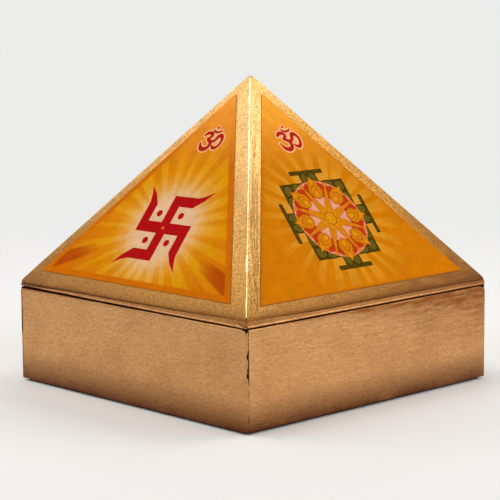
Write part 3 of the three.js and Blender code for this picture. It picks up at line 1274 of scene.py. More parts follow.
@dataclass
class Box:
    """The box: boards clad in foil, on a felt foot, with a copper plate on its floor.

    Attributes:
        sizes: What the frame fixes.
        foil_thickness: Foil with its paper backing.
        corner_radius: Radius of the foil round an upright corner.
        tab: Width of the foil's tab on the next side, past the corner.
        next_start: Where the next side's foil begins, from the corner.
        edge_radius: Radius of the foil's upper and lower edges.
        fold_drop: How far the foil's fold hangs down over the wall's outer face.
        fold_width: Width of that fold.
        fold_thickness: Thickness of that fold.
        hem: How far the foil hangs below the boards, over the felt's edge.
        ripple: Height of the ripples in the foil.
        torn_at: Share of the foil's height round which the seam is torn open.
        torn_half: Half the share of the height that is torn.
        glue_depths: Depths inside the foil's line that the glue in a seam lies between.
        plate: Thickness of the copper plate without its tiny pyramids.
        plate_margin: Width of the plate's plain edge.
        tiny_rows: How many rows of tiny pyramids it has each way.
    """

    sizes: Sizes
    foil_thickness: float = 0.3
    corner_radius: float = 0.45
    tab: float = 0.68
    next_start: float = 0.72
    edge_radius: float = 0.1
    fold_drop: float = 0.45
    fold_width: float = 2.6
    fold_thickness: float = 0.26
    hem: float = 0.15
    ripple: float = 0.011
    torn_at: float = 0.65
    torn_half: float = 0.14
    glue_depths: tuple[float, float] = (0.315, 0.385)
    plate: float = 1.0
    plate_margin: float = 3.5
    tiny_rows: int = 9

    def build(self) -> None:
        """Make the box's pieces: its foil, the glue in its seams, its felt foot and its copper plate."""
        for side in Side:
            foil = joined((self.foil_sheet(side), self.foil_fold().turned(side)))
            stands_for = [f"base_foil_{side.word}"]
            place_piece(f"foil_{side.word}", foil, "base", [FOIL, GLUE_AND_FOLD_SHADE], stands_for)
            glue = self.seam_glue().turned(side)
            place_piece(f"seam_glue_{side.word}", glue, "base", [GLUE_AND_FOLD_SHADE])
        foot = place_piece("felt_foot", self.felt_foot(), "base", [FELT_AND_CONTACT_SHADE], ["base_felt"])
        field = self.copper_field()
        place_piece("copper_field", field, "base", [COPPER], ["copper_plate"], 75.0)

    def path(self, s: Array, depth: Any) -> tuple[Array, Array]:
        """The foil's line in plan: straight along the front, round the right corner and onto the next side.

        Args:
            s: Distance along the line from the front's left corner.
            depth: Distance inside the line, for each place or for all.

        Returns:
            x and y. In the corner they turn about its centre by s over the radius.
        """
        half, radius = self.sizes.half_side, self.corner_radius
        straight = 2 * half - radius
        turn = np.clip((s - straight) / radius, 0, math.pi / 2)
        past = np.maximum(s - straight - radius * math.pi / 2, 0)
        x = np.minimum(s, straight) - half + (radius - depth) * np.sin(turn)
        y = -half + radius - (radius - depth) * np.cos(turn) + past
        return x, y

    def foil_section(self, low: float, high: float) -> tuple[Array, Array]:
        """The foil's section: up the face, over the rounded top, and down the back.

        Args:
            low: Level of its lower edge.
            high: Level of its upper edge.

        Returns:
            Levels and depths along it.
        """
        edge, back = self.edge_radius, self.foil_thickness
        curl = np.linspace(0, math.pi / 2, 4)
        over, under = curl[1:], curl[:-1]
        face = np.linspace(low + edge, high - edge, 112)
        top_z, foot_z = high - edge + edge * np.sin(over), low + edge - edge * np.cos(under)
        z = np.concatenate((face, top_z, (high - edge / 2, low + edge / 2), foot_z))
        top, foot = edge - edge * np.cos(over), edge - edge * np.sin(under)
        return z, np.concatenate((np.zeros(len(face)), top, (back, back), foot))

    def foil_sheet(self, side: Side) -> Surface:
        """One side's sheet of foil: the path in plan by the section, with two ends that wander.

        Its far end is torn back over part of the height, and glue has come out along both ends in
        dashes. The top edge is a little slack, and lower at the corner.

        Args:
            side: The side that the sheet covers.

        Returns:
            The sheet, in its place.
        """
        radius = self.corner_radius
        low, high = self.sizes.foil_bottom - self.hem, self.sizes.box_top
        straight = 2 * self.sizes.half_side - radius
        round_end = straight + radius * math.pi / 2
        end = round_end + self.tab - radius
        runs = (np.linspace(straight, round_end, 7)[1:], np.linspace(round_end, end, 4)[1:])
        s = np.concatenate((np.linspace(self.next_start, straight, 250), *runs))
        z, depth = self.foil_section(low, high)
        grid_s, grid_z = np.meshgrid(s, z)
        share = (grid_z - low) / (high - low)
        seed = 10 + side.value
        torn = np.exp(-(((share - self.torn_at) / self.torn_half) ** 6))
        gaps = np.clip(noise(grid_z, grid_z, 0.8, 0.8, seed + 2), 0, 1)
        opened = np.clip(0.46 + 0.46 * noise(grid_z, grid_z, 0.75, 0.75, seed), 0.12, 0.8)
        grid_s = grid_s - (torn * opened + 0.07 * gaps) * np.clip((s - end + 0.6) / 0.6, 0, 1)
        wander = 0.05 * noise(grid_z, grid_z, 1.7, 1.7, seed + 4)
        grid_s = grid_s + (np.abs(wander) + 0.06 * torn) * np.clip(1 - (s - s[0]) / 2, 0, 1)
        sunk, grime = self.foil_wear(side, grid_s, grid_z, share)
        dashes = np.clip(0.25 + torn + 0.9 * noise(grid_z, grid_z, 0.7, 0.7, seed + 28), 0, 1)
        at_seam = soft_dip(grid_s - s[0], 0.12) + soft_dip(grid_s - end, 0.16)
        grid_z = grid_z - self.top_drop(side, grid_s) * np.clip((share - 0.9) / 0.1, 0, 1)
        on_face = (depth < self.foil_thickness)[:, None]
        x, y = self.path(grid_s, depth[:, None] + np.clip(sunk, 0, 0.2) * on_face)
        sheet = member(xyz(x, y, grid_z))
        sheet.slots = [0, 1, 1]
        sheet.grime = (grime + 0.75 * dashes * at_seam).ravel()
        return sheet.turned(side)

    def top_drop(self, side: Side, s: Array) -> Array:
        """How far the foil's top edge hangs down: a little everywhere, and more at the corner.

        Args:
            side: The side that the foil covers.
            s: Distance of each place along the side.

        Returns:
            The drop at each place.
        """
        corner = 2 * self.sizes.half_side
        notch = 1.1 * soft_dip(s - corner + 0.1, 0.5) + 0.35 * soft_dip(s - corner + 1.2, 0.5)
        notch += 0.45 * soft_dip(s - corner, 1.7) if side is Side.FRONT else 0.0
        slack = 0.16 * np.clip(1 - s / corner, 0, 1) if side is Side.LEFT else 0.03
        return notch + slack + 0.05 + 0.04 * noise_along(s, 3.0, 34 + side.value)

    def foil_wear(
        self, side: Side, s: Array, z: Array, share: Array
    ) -> tuple[Array, Array]:
        """Ripples that are sunk into the foil and never raised from it, with painted shade and scuffs.

        The ripples run level. They are stronger beside the right corner, where painted shade browns the
        upper foil.

        Args:
            side: The side that the foil covers.
            s: Distance of each place along the side.
            z: Its level.
            share: Its share of the foil's height.

        Returns:
            Depths of the face, and the painted shade and scuffs on it.
        """
        seed = 10 + side.value
        low, high = self.sizes.foil_bottom - self.hem, self.sizes.box_top
        near = self.near_shaded_corner(side, s)
        to_right = near * np.clip(share * 2.2 - 0.7, 0, 1)
        level = noise(s, z, 4.6, 0.62, seed + 8) + 0.5 * noise(s, z, 2.2, 0.55, seed + 12)
        peel = noise(s, z, 1.3, 1.1, seed + 16)
        hollow = 0.03 * (1 + noise(s, z, 22.0, 13.0, seed + 20))
        sunk = hollow + self.ripple * (1.6 + 0.7 * peel + (0.4 + 2.2 * to_right) * level)
        # Painted shade: the upper foil darkens toward the right corner, in streaks along the ripples
        browned = 0.44 * np.clip(4 * near, 0, 1) / (1 + ((high - z) / np.maximum(9 * near**3, 0.3)) ** 2)
        streaked = level * np.where(level > 0, 1.0, 0.5)
        stain_and_shade = np.minimum(browned * (1 + 0.14 * level) + 0.15 * to_right * streaked, 0.47)
        scuffs = np.clip(noise(s, z, 2.4, 0.3, seed + 32) * 3 - 1.9, 0, 1) * soft_dip(z - low - 2.0, 0.9)
        return sunk, stain_and_shade + 0.6 * scuffs

    def near_shaded_corner(self, side: Side, s: Array) -> Array:
        """1 at the right corner and fainter at the one across from it, falling to nothing along the side.

        Args:
            side: The side that is asked about.
            s: Distance along it from its left corner.

        Returns:
            How near the corner is, which sets where painted shade darkens the foil.
        """
        corner = 2 * self.sizes.half_side
        away = corner - s if side in (Side.FRONT, Side.BACK) else s
        darkening = 1.0 if side in (Side.FRONT, Side.RIGHT) else 0.3
        return darkening * np.clip(1 - away / (0.95 * corner), 0, 1) ** 0.8

    def foil_fold(self) -> Surface:
        """The foil's fold over the front wall's top: a thin strip mitred at both ends, coloured black as
        painted shade so that the seam above it reads dark.

        Returns:
            The closed strip.
        """
        wall = self.sizes.half_side - self.foil_thickness
        inner, outer = wall - self.fold_width, wall + 0.07
        bottom, top = self.sizes.box_top - 0.01, self.sizes.box_top + self.fold_thickness
        hem = bottom - self.fold_drop
        over = ((inner, bottom), (wall - 0.01, bottom), (wall - 0.01, hem), (outer, hem), (outer, bottom))
        section = np.array(over + ((outer - 0.12, top - 0.05), (outer - 0.2, top), (inner, top)))
        along = np.linspace(-1, 1, 60)
        reach = section[:, :1] - 0.15
        wave = 0.02 * noise_along(along * wall, 4.0, 91)
        z = section[:, 1:] + np.where(section[:, 1:] > bottom + 0.02, wave, 0.0)
        fold = member(xyz(along * reach, -section[:, :1], z))
        # The fold takes the black glue finish all over, painted shade for the seam
        fold.grime = np.ones(len(fold.points))
        fold.slots = [1] * len(fold.faces)
        return fold

    def seam_glue(self) -> Surface:
        """Glue behind the front's right corner: a thin upright band on the path, just inside the foil.

        Returns:
            The closed band.
        """
        corner = 2 * self.sizes.half_side - self.corner_radius
        s = np.linspace(corner - 0.9, corner + 1.3, 16)
        z = np.linspace(self.sizes.foil_bottom + 0.15, self.sizes.box_top - 0.04, 30)
        grid_s, grid_z = np.meshgrid(s, z)
        sheets = [xyz(*self.path(grid_s, depth), grid_z) for depth in self.glue_depths]
        return closed_sheet(*sheets)

    def felt_foot(self) -> Surface:
        """The felt: square rings from the middle of its face, over its fuzzy edge, and back inwards.

        Returns:
            The closed felt.
        """
        low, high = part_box("base_felt")
        half, thickness = high.x / MM, (high.z - low.z) / MM
        rounds = SquareRound.spaced(np.linspace(-1, 1, 120), 4)
        rows = [(0.0, 8.0), (0.0, 30.0), (0.0, half - 0.12), (0.06, half - 0.02), (0.2, half), (0.5, half)]
        rows += [(0.74, half - 0.02), (thickness, half - 0.12), (thickness, 30.0), (thickness, 8.0)]
        along = rounds.along * half + rounds.side * 2 * half
        rings = []
        for number, (level, reach) in enumerate(rows):
            fuzz = 0.05 * (1 + noise(along, np.full(len(along), number), 0.9, 1.0, 33))
            x, y = rounds.ring(reach - fuzz * (reach > 40), min(1.0, reach / 4))
            rings.append(xyz(x, y, level))
        grid = np.stack(rings)
        middle = len(rows) // 2
        face, back = grid[:middle][::-1], grid[middle:]
        return shell(face, np.array((0.0, 0.0, 0.0)), back, np.array((0.0, 0.0, thickness)))

    def copper_field(self) -> Surface:
        """The copper plate: height over a square grid, each cell of the field a pyramid with worn edges.

        In a cell the height falls by the slope for each millimetre from its middle, and stops at the plate.
        The distance is the larger of the two from the cell's middle lines, smoothed.

        Returns:
            The closed plate.
        """
        low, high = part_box("copper_plate")
        half, bottom, peak = high.x / MM, low.z / MM, high.z / MM
        plate_top, field = bottom + self.plate, half - self.plate_margin
        cell = 2 * field / self.tiny_rows
        line = np.linspace(-half, half, 217)
        x, y = np.meshgrid(line, line)
        across, beyond = (np.abs((place + field) % cell - cell / 2) for place in (x, y))
        worn = (across**8 + beyond**8) ** 0.125
        rise = self.sizes.slope.rise
        height = peak + 0.22 - rise * np.hypot(worn, 0.25)
        out = np.maximum(np.abs(x), np.abs(y))
        in_field = (out < field).astype(float)
        z = np.maximum(plate_top, np.minimum(height, peak) * in_field)
        z -= 0.12 * (1 - in_field) * soft_dip(half - out, 0.4)
        return closed_sheet(xyz(x, y, z), xyz(x, y, bottom))


# The tray


@dataclass
class Tray:
    """The loose tray: a board with nine small pyramids.

    Attributes:
        sizes: What the frame fixes.
        count: How many small pyramids there are.
        corner_low: Radius of their hips at the foot.
        corner_high: Radius of their hips at the tip.
        foot_worn: How far the edge of their foot is worn back.
    """

    sizes: Sizes
    count: int = 9
    corner_low: float = 0.7
    corner_high: float = 0.35
    foot_worn: float = 0.12

    def build(self) -> None:
        """Make a worn-edged pyramid in the place of each one in the frame."""
        for number in range(1, self.count + 1):
            node, name = f"mini_pyramid_{number}", f"gilded_pyramid_{number}"
            surface = self.pyramid(node, 60 + number)
            place_piece(name, surface, "tray", [GOLD_PAINT], [node], 60.0)

    def pyramid(self, node: str, seed: int) -> Surface:
        """A small pyramid: rings of a rounded square that shrink evenly from the foot to a rounded tip.

        Args:
            node: The frame's node that gives its place and size.
            seed: Number that fixes its wear.

        Returns:
            The closed pyramid.
        """
        low, high = (np.array(corner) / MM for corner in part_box(node))
        half, bottom, top = (high[0] - low[0]) / 2, low[2], high[2]
        rise = (top - bottom) / (half - 0.35)
        rounds = SquareRound.spaced(np.linspace(-1, 1, 25), 5)
        share = np.linspace(0, 1, 29)[:, None]
        foot = half - self.foot_worn
        reach = foot * (1 - share) + 0.45 * share
        lip = np.array((0.0, self.foot_worn))[:, None]
        z = np.minimum(np.concatenate((bottom + lip, bottom + 0.3 + (foot - reach) * rise)), top - 0.25)
        reach = np.concatenate((foot - self.foot_worn + lip, reach))
        worn_down = self.corner_low + (self.corner_high - self.corner_low) * share
        radius = np.minimum(np.concatenate((np.full((2, 1), self.corner_low), worn_down)), reach * 0.9)
        worn = 0.03 * (1 + noise(rounds.along * 12 + rounds.side * 24, z * 1.0, 2.5, 2.5, seed))
        x, y = rounds.ring(reach - worn * (z > bottom + 0.2), radius)
        centre = (low + high) / 2
        outer = xyz(x + centre[0], y + centre[1], z)
        foot_x, foot_y = rounds.ring(half * 0.5, 0.3)
        inner = xyz(foot_x + centre[0], foot_y + centre[1], bottom)[None]
        tip = np.array((centre[0], centre[1], top - 0.08))
        return shell(outer, tip, inner, np.array((centre[0], centre[1], bottom)))


# The lid


@dataclass
class Lid:
    """The lid's rim and its gilding.

    Attributes:
        sizes: What the frame fixes.
        cove_levels: For each side, the groove's levels over the lid's underside from left to right.
        rim_radius: Radius of the rim round its corners.
        rim_edge: Radius of the rim's lower edge.
        skirt_half: Half width of the gilding below the slopes.
        leaf_depth: Thickness of the leaf with its ground.
        hip_low: Radius of the hips at the foot.
        hip_high: Radius of the hips near the tip.
        skirt_bend: Softness of the bend from the skirt into the slope.
        tip_drop: How far the rounded tip lies below the point where the slopes would meet.
        tip_round: Height of the rounded part.
    """

    sizes: Sizes
    cove_levels: tuple[tuple[float, ...], ...] = (
        (2.1, 1.45, 1.5, 1.6, 1.5),
        (1.5, 1.5, 1.6, 1.5, 1.5),
        (1.5, 1.4, 1.3, 1.2, 0.55),
        (0.55, 1.15, 1.2, 1.5, 2.1),
    )
    rim_radius: float = 0.5
    rim_edge: float = 0.22
    skirt_half: float = 49.88
    leaf_depth: float = 0.55
    hip_low: float = 0.62
    hip_high: float = 0.75
    skirt_bend: float = 0.28
    tip_drop: float = 0.75
    tip_round: float = 0.9

    # Painted shade beside the right hip and beside the one across from it, at each of these levels
    TONED_LEVELS = (35.0, 37.6, 42.0, 53.0, 60.0, 72.0, 78.0, 83.0, 90.0)
    TONED_HIPS = {
        Side.FRONT: (0.05, 0.27, 0.48, 0.43, 0.43, 0.41, 0.39, 0.28, 0.2),
        Side.BACK: (0.05, 0.25, 0.29, 0.17, 0.2, 0.16, 0.19, 0.13, 0.08),
    }

    # Levels along the front hip, and its radius at each: sharp at the foot, nicked, swollen, then even
    HIP_LEVELS = (31.0, 41.2, 41.9, 42.8, 45.6, 46.9, 60.0, 75.0, 92.0)
    HIP_RADII = (0.42, 0.36, 0.2, 0.55, 0.62, 0.28, 0.32, 0.48, 0.65)

    # Creases beside a hip: levels from the top down, with the distance from the hip at each
    CREASES = (
        ((76.0, 1.1), (62.0, 1.5), (52.0, 1.1), (44.5, 1.8), (40.5, 3.3)),
        ((66.0, 2.5), (56.0, 2.1), (46.0, 2.7), (40.0, 2.6)),
        ((72.0, 3.4), (60.0, 3.1), (47.0, 3.5), (36.0, 3.4)),
        ((59.0, 0.7), (50.0, 1.5), (45.0, 2.3)),
        ((43.0, 0.7), (38.0, 1.4), (32.0, 1.2)),
        ((41.0, 3.1), (36.0, 3.6), (31.6, 3.6)),
        ((46.0, 0.8), (43.5, 2.2), (39.5, 2.9), (33.0, 2.5)),
        ((88.0, 1.8), (78.0, 2.2), (69.0, 1.8)),
        ((38.5, 2.0), (33.5, 2.0)),
    )

    def build(self) -> None:
        """Make the rim's foil ring and the gilding over the four boards."""
        rims = [f"lid_rim_{side.word}" for side in Side]
        leaves = [f"lid_leaf_{side.word}" for side in Side]
        place_piece("rim_foil", self.rim(), "lid", [RIM_FOIL], rims)
        place_piece("lid_gilding", self.gilding(), "lid", [LEAF, BURNISHED_HIGHLIGHT_LEAF], leaves, 50.0)

    def cove(self, rounds: SquareRound) -> Array:
        """Level of the groove at each place round: straight runs between the levels on each side.

        Args:
            rounds: Places round the lid.

        Returns:
            The levels.
        """
        levels = np.empty(len(rounds.side))
        for number, along_side in enumerate(self.cove_levels):
            here = rounds.on(Side(number))
            levels[here] = np.interp(rounds.along[here], np.linspace(-1, 1, len(along_side)), along_side)
        return self.sizes.rim_bottom + levels

    def rim_section(self, low: Array, cove: Array) -> list[tuple[float, Any]]:
        """The rim's section, from the underside over a rounded edge, up the face, and in over the groove.

        Args:
            low: Level of the underside at each place round.
            cove: Level of the groove there.

        Returns:
            For each line round the rim, its distance from the middle and its levels.
        """
        half, edge, skirt = self.sizes.half_side, self.rim_edge, self.skirt_half
        inner, top = self.sizes.rim_inner + 0.05, self.sizes.rim_top - 0.02
        curl = np.linspace(0, math.pi / 2, 5)
        rows = [(inner, low), (half - 2.0, low)]
        rows += [(half - edge + edge * math.sin(a), low + edge - edge * math.cos(a)) for a in curl]
        bead = low + edge + 0.1
        rows += [(half, bead), (half - 0.03, bead + 0.05), (half - 0.12, bead + 0.1)]
        face, low_face, high_face = half - 0.15, bead + 0.14, cove - 0.32
        rows += [(face, low_face + (high_face - low_face) * share) for share in np.linspace(0, 1, 7)]
        rows += [(face - 0.2 + 0.2 * math.cos(a), high_face + 0.26 * math.sin(a)) for a in curl[1:]]
        return rows + [(skirt - 0.75, cove - 0.04), (skirt - 0.8, top), (inner, top)]

    def rim(self) -> Surface:
        """The rim: its closed section carried round the square.

        A fold in the foil runs from the front's left corner up along the left side.

        Returns:
            The closed ring.
        """
        half, bottom = self.sizes.half_side, self.sizes.rim_bottom
        rounds = SquareRound.spaced(spaced_from_ends(half, 0.25, 2.0, 8.0), 8)
        cove = self.cove(rounds)
        along = rounds.along * half + rounds.side * 2 * half
        raised = 0.22 * soft_dip(rounds.from_corner(Side.BACK) * half, 30.0)
        low = bottom + 0.05 + 0.04 * noise_along(along, 5.0, 71) + raised
        from_corner = np.where(rounds.on(Side.LEFT), 1 - rounds.along, FAR) * half
        ripple = 0.012 * (1 + noise_along(along, 2.6, 75))
        rings, creases = [], []
        for reach, z in self.rim_section(low, cove):
            on_face = reach > half - 0.5
            crease = soft_dip(z - bottom - 0.35 - from_corner * 0.25, 0.17)
            crease = crease * np.clip((4.2 - from_corner) / 2, 0, 1) * on_face
            creases.append(crease)
            radius = self.rim_radius if reach > half - 1.2 else 0.1
            rings.append(xyz(*rounds.ring(reach - (ripple + 0.22 * crease) * on_face, radius), z))
        grid = np.stack(rings)
        # Painted shade: darker in the groove, toward the right corner and the one across, at the front
        # corner, and in the crease
        in_groove = soft_dip(grid[..., 2] - cove, 0.3)
        streaks = 0.75 + 0.25 * noise_along(along, 7.0, 78)
        at_front = rounds.from_corner(Side.LEFT) * half
        painted_corner_shade = 0.3 * self.near_shaded_corner(rounds) * streaks + 0.06 * soft_dip(at_front, 6.0)
        grime = 0.35 * in_groove + painted_corner_shade + 0.4 * np.stack(creases)
        quads = grid_faces(grid.shape[0], grid.shape[1], round_rows=True, round_columns=True)
        return Surface(grid.reshape(-1, 3), [quads], grime=grime.ravel()).outward()

    def near_shaded_corner(self, rounds: SquareRound) -> Array:
        """Reach of painted shade: 1 at the right corner and less at the one across, down to nothing a
        little past half a side.
        """
        darkening = ((Side.FRONT, 1.0), (Side.BACK, 0.45))
        return sum(most * np.clip(1 - rounds.from_corner(side) / 1.15, 0, 1) for side, most in darkening)

    def gilded_rings(self, groove: Array, tip: float) -> tuple[Array, Array]:
        """Rings up the lid: the slope's half width, eased into the upright skirt, then the rounded tip.

        Args:
            groove: Level of the gilding's foot at each place round.
            tip: Level of its tip.

        Returns:
            Half width and level of each place on each ring.
        """
        slope, shoulder = self.sizes.slope, tip - self.tip_round
        join = slope.foot_z + 0.7
        skirt = groove + (join - groove) * np.linspace(0, 1, 12)[:, None] ** 1.4
        higher = join + (shoulder - join) * np.linspace(0, 1, 112)[1:, None]
        z = np.concatenate((skirt, np.broadcast_to(higher, (len(higher), len(groove)))))
        gap = (self.skirt_half - slope.half_at(z)) / self.skirt_bend
        half = self.skirt_half - self.skirt_bend * np.logaddexp(0, gap) - 0.14 * soft_dip(z - groove, 0.35)
        top = np.array((0.55, 0.25))[:, None]
        top_z = shoulder + self.tip_round * np.sqrt(1 - (top / 1.3) ** 2)
        added = (np.broadcast_to(rows, (2, len(groove))) for rows in (top, top_z))
        half, z = (np.concatenate((below, above)) for below, above in zip((half, z), added))
        return half, z

    def gilding(self) -> Surface:
        """The leaf over the four slopes, as one thin shell of square rings with rounded corners.

        Creases sink into it beside the hips, and most of each hip's round takes the second finish, a paler
        leaf that paints a highlight line.

        Returns:
            The closed shell.
        """
        slope = self.sizes.slope
        rounds = SquareRound.spaced(spaced_from_ends(slope.foot_half, 0.25, 2.2, 7.0), 8)
        groove, tip = self.cove(rounds) - 0.03, slope.peak_z - self.tip_drop
        half, z = self.gilded_rings(groove, tip)
        height = np.clip((z - slope.foot_z) / (slope.peak_z - slope.foot_z), 0, 1)
        plain = self.hip_low + (self.hip_high - self.hip_low) * height
        sharpened = (self.front_hip(z) - plain) * np.maximum(1 - rounds.from_corner(Side.LEFT) / 2, 0)
        sunk, grime = self.wear(rounds, half, z)
        grime = grime + self.browned(rounds, half, z)
        x, y = rounds.ring(half, np.minimum(plain + sharpened, half * 0.95))
        face_x, face_y = rounds.facing()
        sine, cosine = math.sin(slope.angle), math.cos(slope.angle)
        on_slope = np.clip((z - slope.foot_z) / 1.5, 0, 1)
        level = sunk * (1 - (1 - sine) * on_slope)
        outer = xyz(x - level * face_x, y - level * face_y, z - sunk * cosine * on_slope)
        low_z = np.maximum(groove + 0.05, slope.foot_z - 0.05)
        inner_z = np.stack((groove + 0.01, low_z, np.full(len(groove), tip - 2.4)))
        inner_half = np.minimum(slope.half_at(inner_z) - self.leaf_depth / sine, self.skirt_half - 0.6)
        inner = xyz(*rounds.ring(inner_half, np.minimum(0.3, inner_half * 0.9)), inner_z)
        surface = shell(outer, np.array((0.0, 0.0, tip)), inner, np.array((0.0, 0.0, tip - 1.6)))
        # Faces on most of each hip's round take the paler leaf: a painted highlight line along the hips
        skin = surface.faces[0]
        turned = rounds.corner[skin[:, 1] % len(groove)]
        painted_hip_highlight = (turned > 0.3) & (turned < 1.3) & (skin[:, 0] // len(groove) > 10)
        surface.faces = [skin[~painted_hip_highlight]] + surface.faces[1:] + [skin[painted_hip_highlight]]
        surface.slots = [0] * (len(surface.faces) - 1) + [1]
        surface.grime = np.zeros(len(surface.points))
        surface.grime[: grime.size] = grime.ravel()
        return surface

    def front_hip(self, z: Array) -> Array:
        """Radius of the front hip by level, made uneven with noise."""
        return np.interp(z, self.HIP_LEVELS, self.HIP_RADII) * (1 + 0.42 * noise_along(z, 0.8, 84))

    def browned(self, rounds: SquareRound, half: Array, z: Array) -> Array:
        """Painted shade on the gilding beside the right hip, fainter beside the one across, along its foot
        and at the groove below it.

        Args:
            rounds: Places round each ring.
            half: Half width of each ring.
            z: Level of each place.

        Returns:
            The amount of painted shade.
        """
        browned = np.zeros_like(z)
        for hip, amounts in self.TONED_HIPS.items():
            from_hip = rounds.from_corner(hip) * half
            browned += np.interp(z, self.TONED_LEVELS, amounts) * np.clip(1.4 - from_hip / 8, 0, 1)
        streaks = 0.8 + 0.5 * noise(rounds.along * half + rounds.side * SIDE_SHIFT, z, 5.0, 0.7, 79)
        low = self.near_shaded_corner(rounds) * streaks * np.clip((40.0 - z) / 5.0, 0, 1)
        foot = 0.06 + 0.2 * rounds.on(Side.FRONT) * soft_dip(rounds.along, 0.75)
        foot = foot * soft_dip(z - 32.5, 3.0) * np.clip(rounds.from_corner(Side.LEFT) * half / 8, 0, 1)
        return np.minimum(browned + 0.5 * low + foot + 0.4 * soft_dip(z - self.cove(rounds), 0.9), 0.6)

    def wear(self, rounds: SquareRound, half: Array, z: Array) -> tuple[Array, Array]:
        """How far the leaf is sunk at each place: a gentle unevenness, and creases along the lower hips.

        A crease is a line in distance from the left hip and in height, and its section a bell, darkened as
        painted shade.

        Args:
            rounds: Places round each ring.
            half: Half width of each ring.
            z: Level of each place.

        Returns:
            Depths square to the surface, and the painted shade that darkens the creases and pits.
        """
        from_left, from_right = (1 + rounds.along) * half, (1 - rounds.along) * half
        along = rounds.along * half + rounds.side * SIDE_SHIFT
        depth = 0.03 * (1 + noise(along, z, 17.0, 12.0, 81)) + 0.012 * (1 + noise(along, z, 2.3, 2.0, 82))
        strength = np.array((1.0, 0.5, 0.6, 0.5))[rounds.side]
        grime = np.zeros_like(depth)
        for number, line in enumerate(self.CREASES):
            levels, places = np.array(line)[::-1].T
            wander = 0.12 * noise_along(z, 2.0, 90 + number)
            off_line = from_left - np.interp(z, levels, places) - wander
            inside = np.clip((z - levels[0]) / 1.5, 0, 1) * np.clip((levels[-1] - z) / 2.5, 0, 1)
            crease = strength * inside * soft_dip(off_line, 0.15) * (rounds.corner == 0)
            depth = depth + 0.17 * crease
            grime = grime + 0.13 * crease * (0.6 + 0.6 * noise_along(z, 1.3, 190 + number))
        pitted = np.clip(noise(from_right, z, 0.9, 1.6, 97) - 0.35, 0, 1) * soft_dip(from_right - 0.7, 0.9)
        pits = strength * pitted * soft_dip(z - 41.0, 5.0) * (rounds.corner == 0)
        return depth + 0.14 * pits, grime + 0.5 * pits


@dataclass(frozen=True)
class Label:
    """The printed label of a slope: a triangle of paper cut and laid by hand, with signs in ink.

    Attributes:
        slope: The slope that it lies on.
        foot: Distance of its lower edge up the slope.
        tip: Distance of its tip up the slope.
        half_at_zero: Half width that it would have at the slope's foot.
        shift: Distance of its middle from the slope's middle, at the slope's foot.
        lean: What its middle moves to the right for each millimetre up the slope.
        paper_lift: Lift of its face over the slope.
        ink_step: Height of each layer of ink over the one below.
        print_side: Side of the square that the print's map covers.
    """

    slope: Slope
    foot: float = 3.8
    tip: float = 71.6
    half_at_zero: float = 44.5
    shift: float = 0.0
    lean: float = 0.0
    paper_lift: float = 0.26
    ink_step: float = 0.012
    print_side: float = 100.0

    @property
    def taper(self) -> float:
        """Half width lost for each millimetre up the slope."""
        return self.half_at_zero / self.tip

    def paper(self) -> Surface:
        """The paper: rows up the slope, each from one edge to the other, with its rim turned down a little.

        Returns:
            The closed sheet, with its print's map.
        """
        foot, tip = self.foot, self.tip
        up = np.concatenate(([foot, foot + 0.08], np.linspace(foot + 0.8, tip - 0.8, 66), [tip - 0.25]))
        across = np.concatenate(([-1.0], np.linspace(-0.996, 0.996, 47), [1.0]))
        grid_up, grid_across = np.meshgrid(up, across, indexing="ij")
        along = grid_across * (self.half_at_zero - self.taper * grid_up) + self.shift + self.lean * grid_up
        at_edge = (np.abs(grid_across) == 1) | (grid_up == up[0]) | (grid_up == up[-1])
        lift = self.paper_lift - 0.012 * (1 + noise(along, grid_up, 6.0, 6.0, 51)) - 0.08 * at_edge
        top = self.slope.point(along, grid_up, lift)
        under = self.slope.point(along, grid_up, -0.03)
        uv = np.stack((along / self.print_side + 0.5, grid_up / self.print_side), axis=-1)
        return closed_sheet(top, under, uv)

    def inked(self, shapes: Sequence[Array], layer: int) -> Surface:
        """Flat shapes of one ink, in one layer. Each lies a hair above the one before: no faces coincide.

        Args:
            shapes: For each, either an outline or the two sides of a stroke, as along and up.
            layer: How many layers lie below.

        Returns:
            The closed shapes as one surface.
        """
        low = self.paper_lift - 0.06
        surfaces = []
        for number, shape in enumerate(shapes):
            high = self.paper_lift + self.ink_step * (layer + 0.5 + 0.4 * number / len(shapes))
            if shape.ndim == 2:
                along, up = shape.T
                surfaces.append(prism(self.slope.point(along, up, low), self.slope.point(along, up, high)))
            else:
                along, up = shape[..., 0], shape[..., 1]
                rising = high + 0.2 * self.ink_step * np.linspace(0, 1, shape.shape[1])
                above, below = (self.slope.point(along, up, level) for level in (rising, low))
                surfaces.append(closed_sheet(above, below))
        return joined(surfaces)


def ribbon(line: Array, widths: Sequence[float], extra: float = 0.0) -> Array:
    """A brush stroke: the two sides of a line at half the width, drawn together at its start and end.

    Args:
        line: Points of the stroke's middle.
        widths: Widths at even places along it, joined by straight runs.
        extra: What each side is widened by.

    Returns:
        The left side and the right side, with as many points each.
    """
    half = np.interp(np.linspace(0, 1, len(line)), np.linspace(0, 1, len(widths)), widths) / 2 + extra
    way = np.gradient(line, axis=0)
    way /= np.linalg.norm(way, axis=1, keepdims=True)
    turn = np.radians((85.0, 60.0, 35.0, 15.0))
    back = line[0] - half[0] * np.sin(turn)[:, None] * way[0]
    ahead = line[-1] + half[-1] * np.sin(turn[::-1])[:, None] * way[-1]
    middle = np.concatenate((back, line, ahead))
    way = np.concatenate((np.tile(way[:1], (4, 1)), way, np.tile(way[-1:], (4, 1))))
    half = np.concatenate((half[0] * np.cos(turn), half, half[-1] * np.cos(turn[::-1])))
    square = np.stack((-way[:, 1], way[:, 0]), axis=-1) * half[:, None]
    return np.stack((middle + square, middle - square))


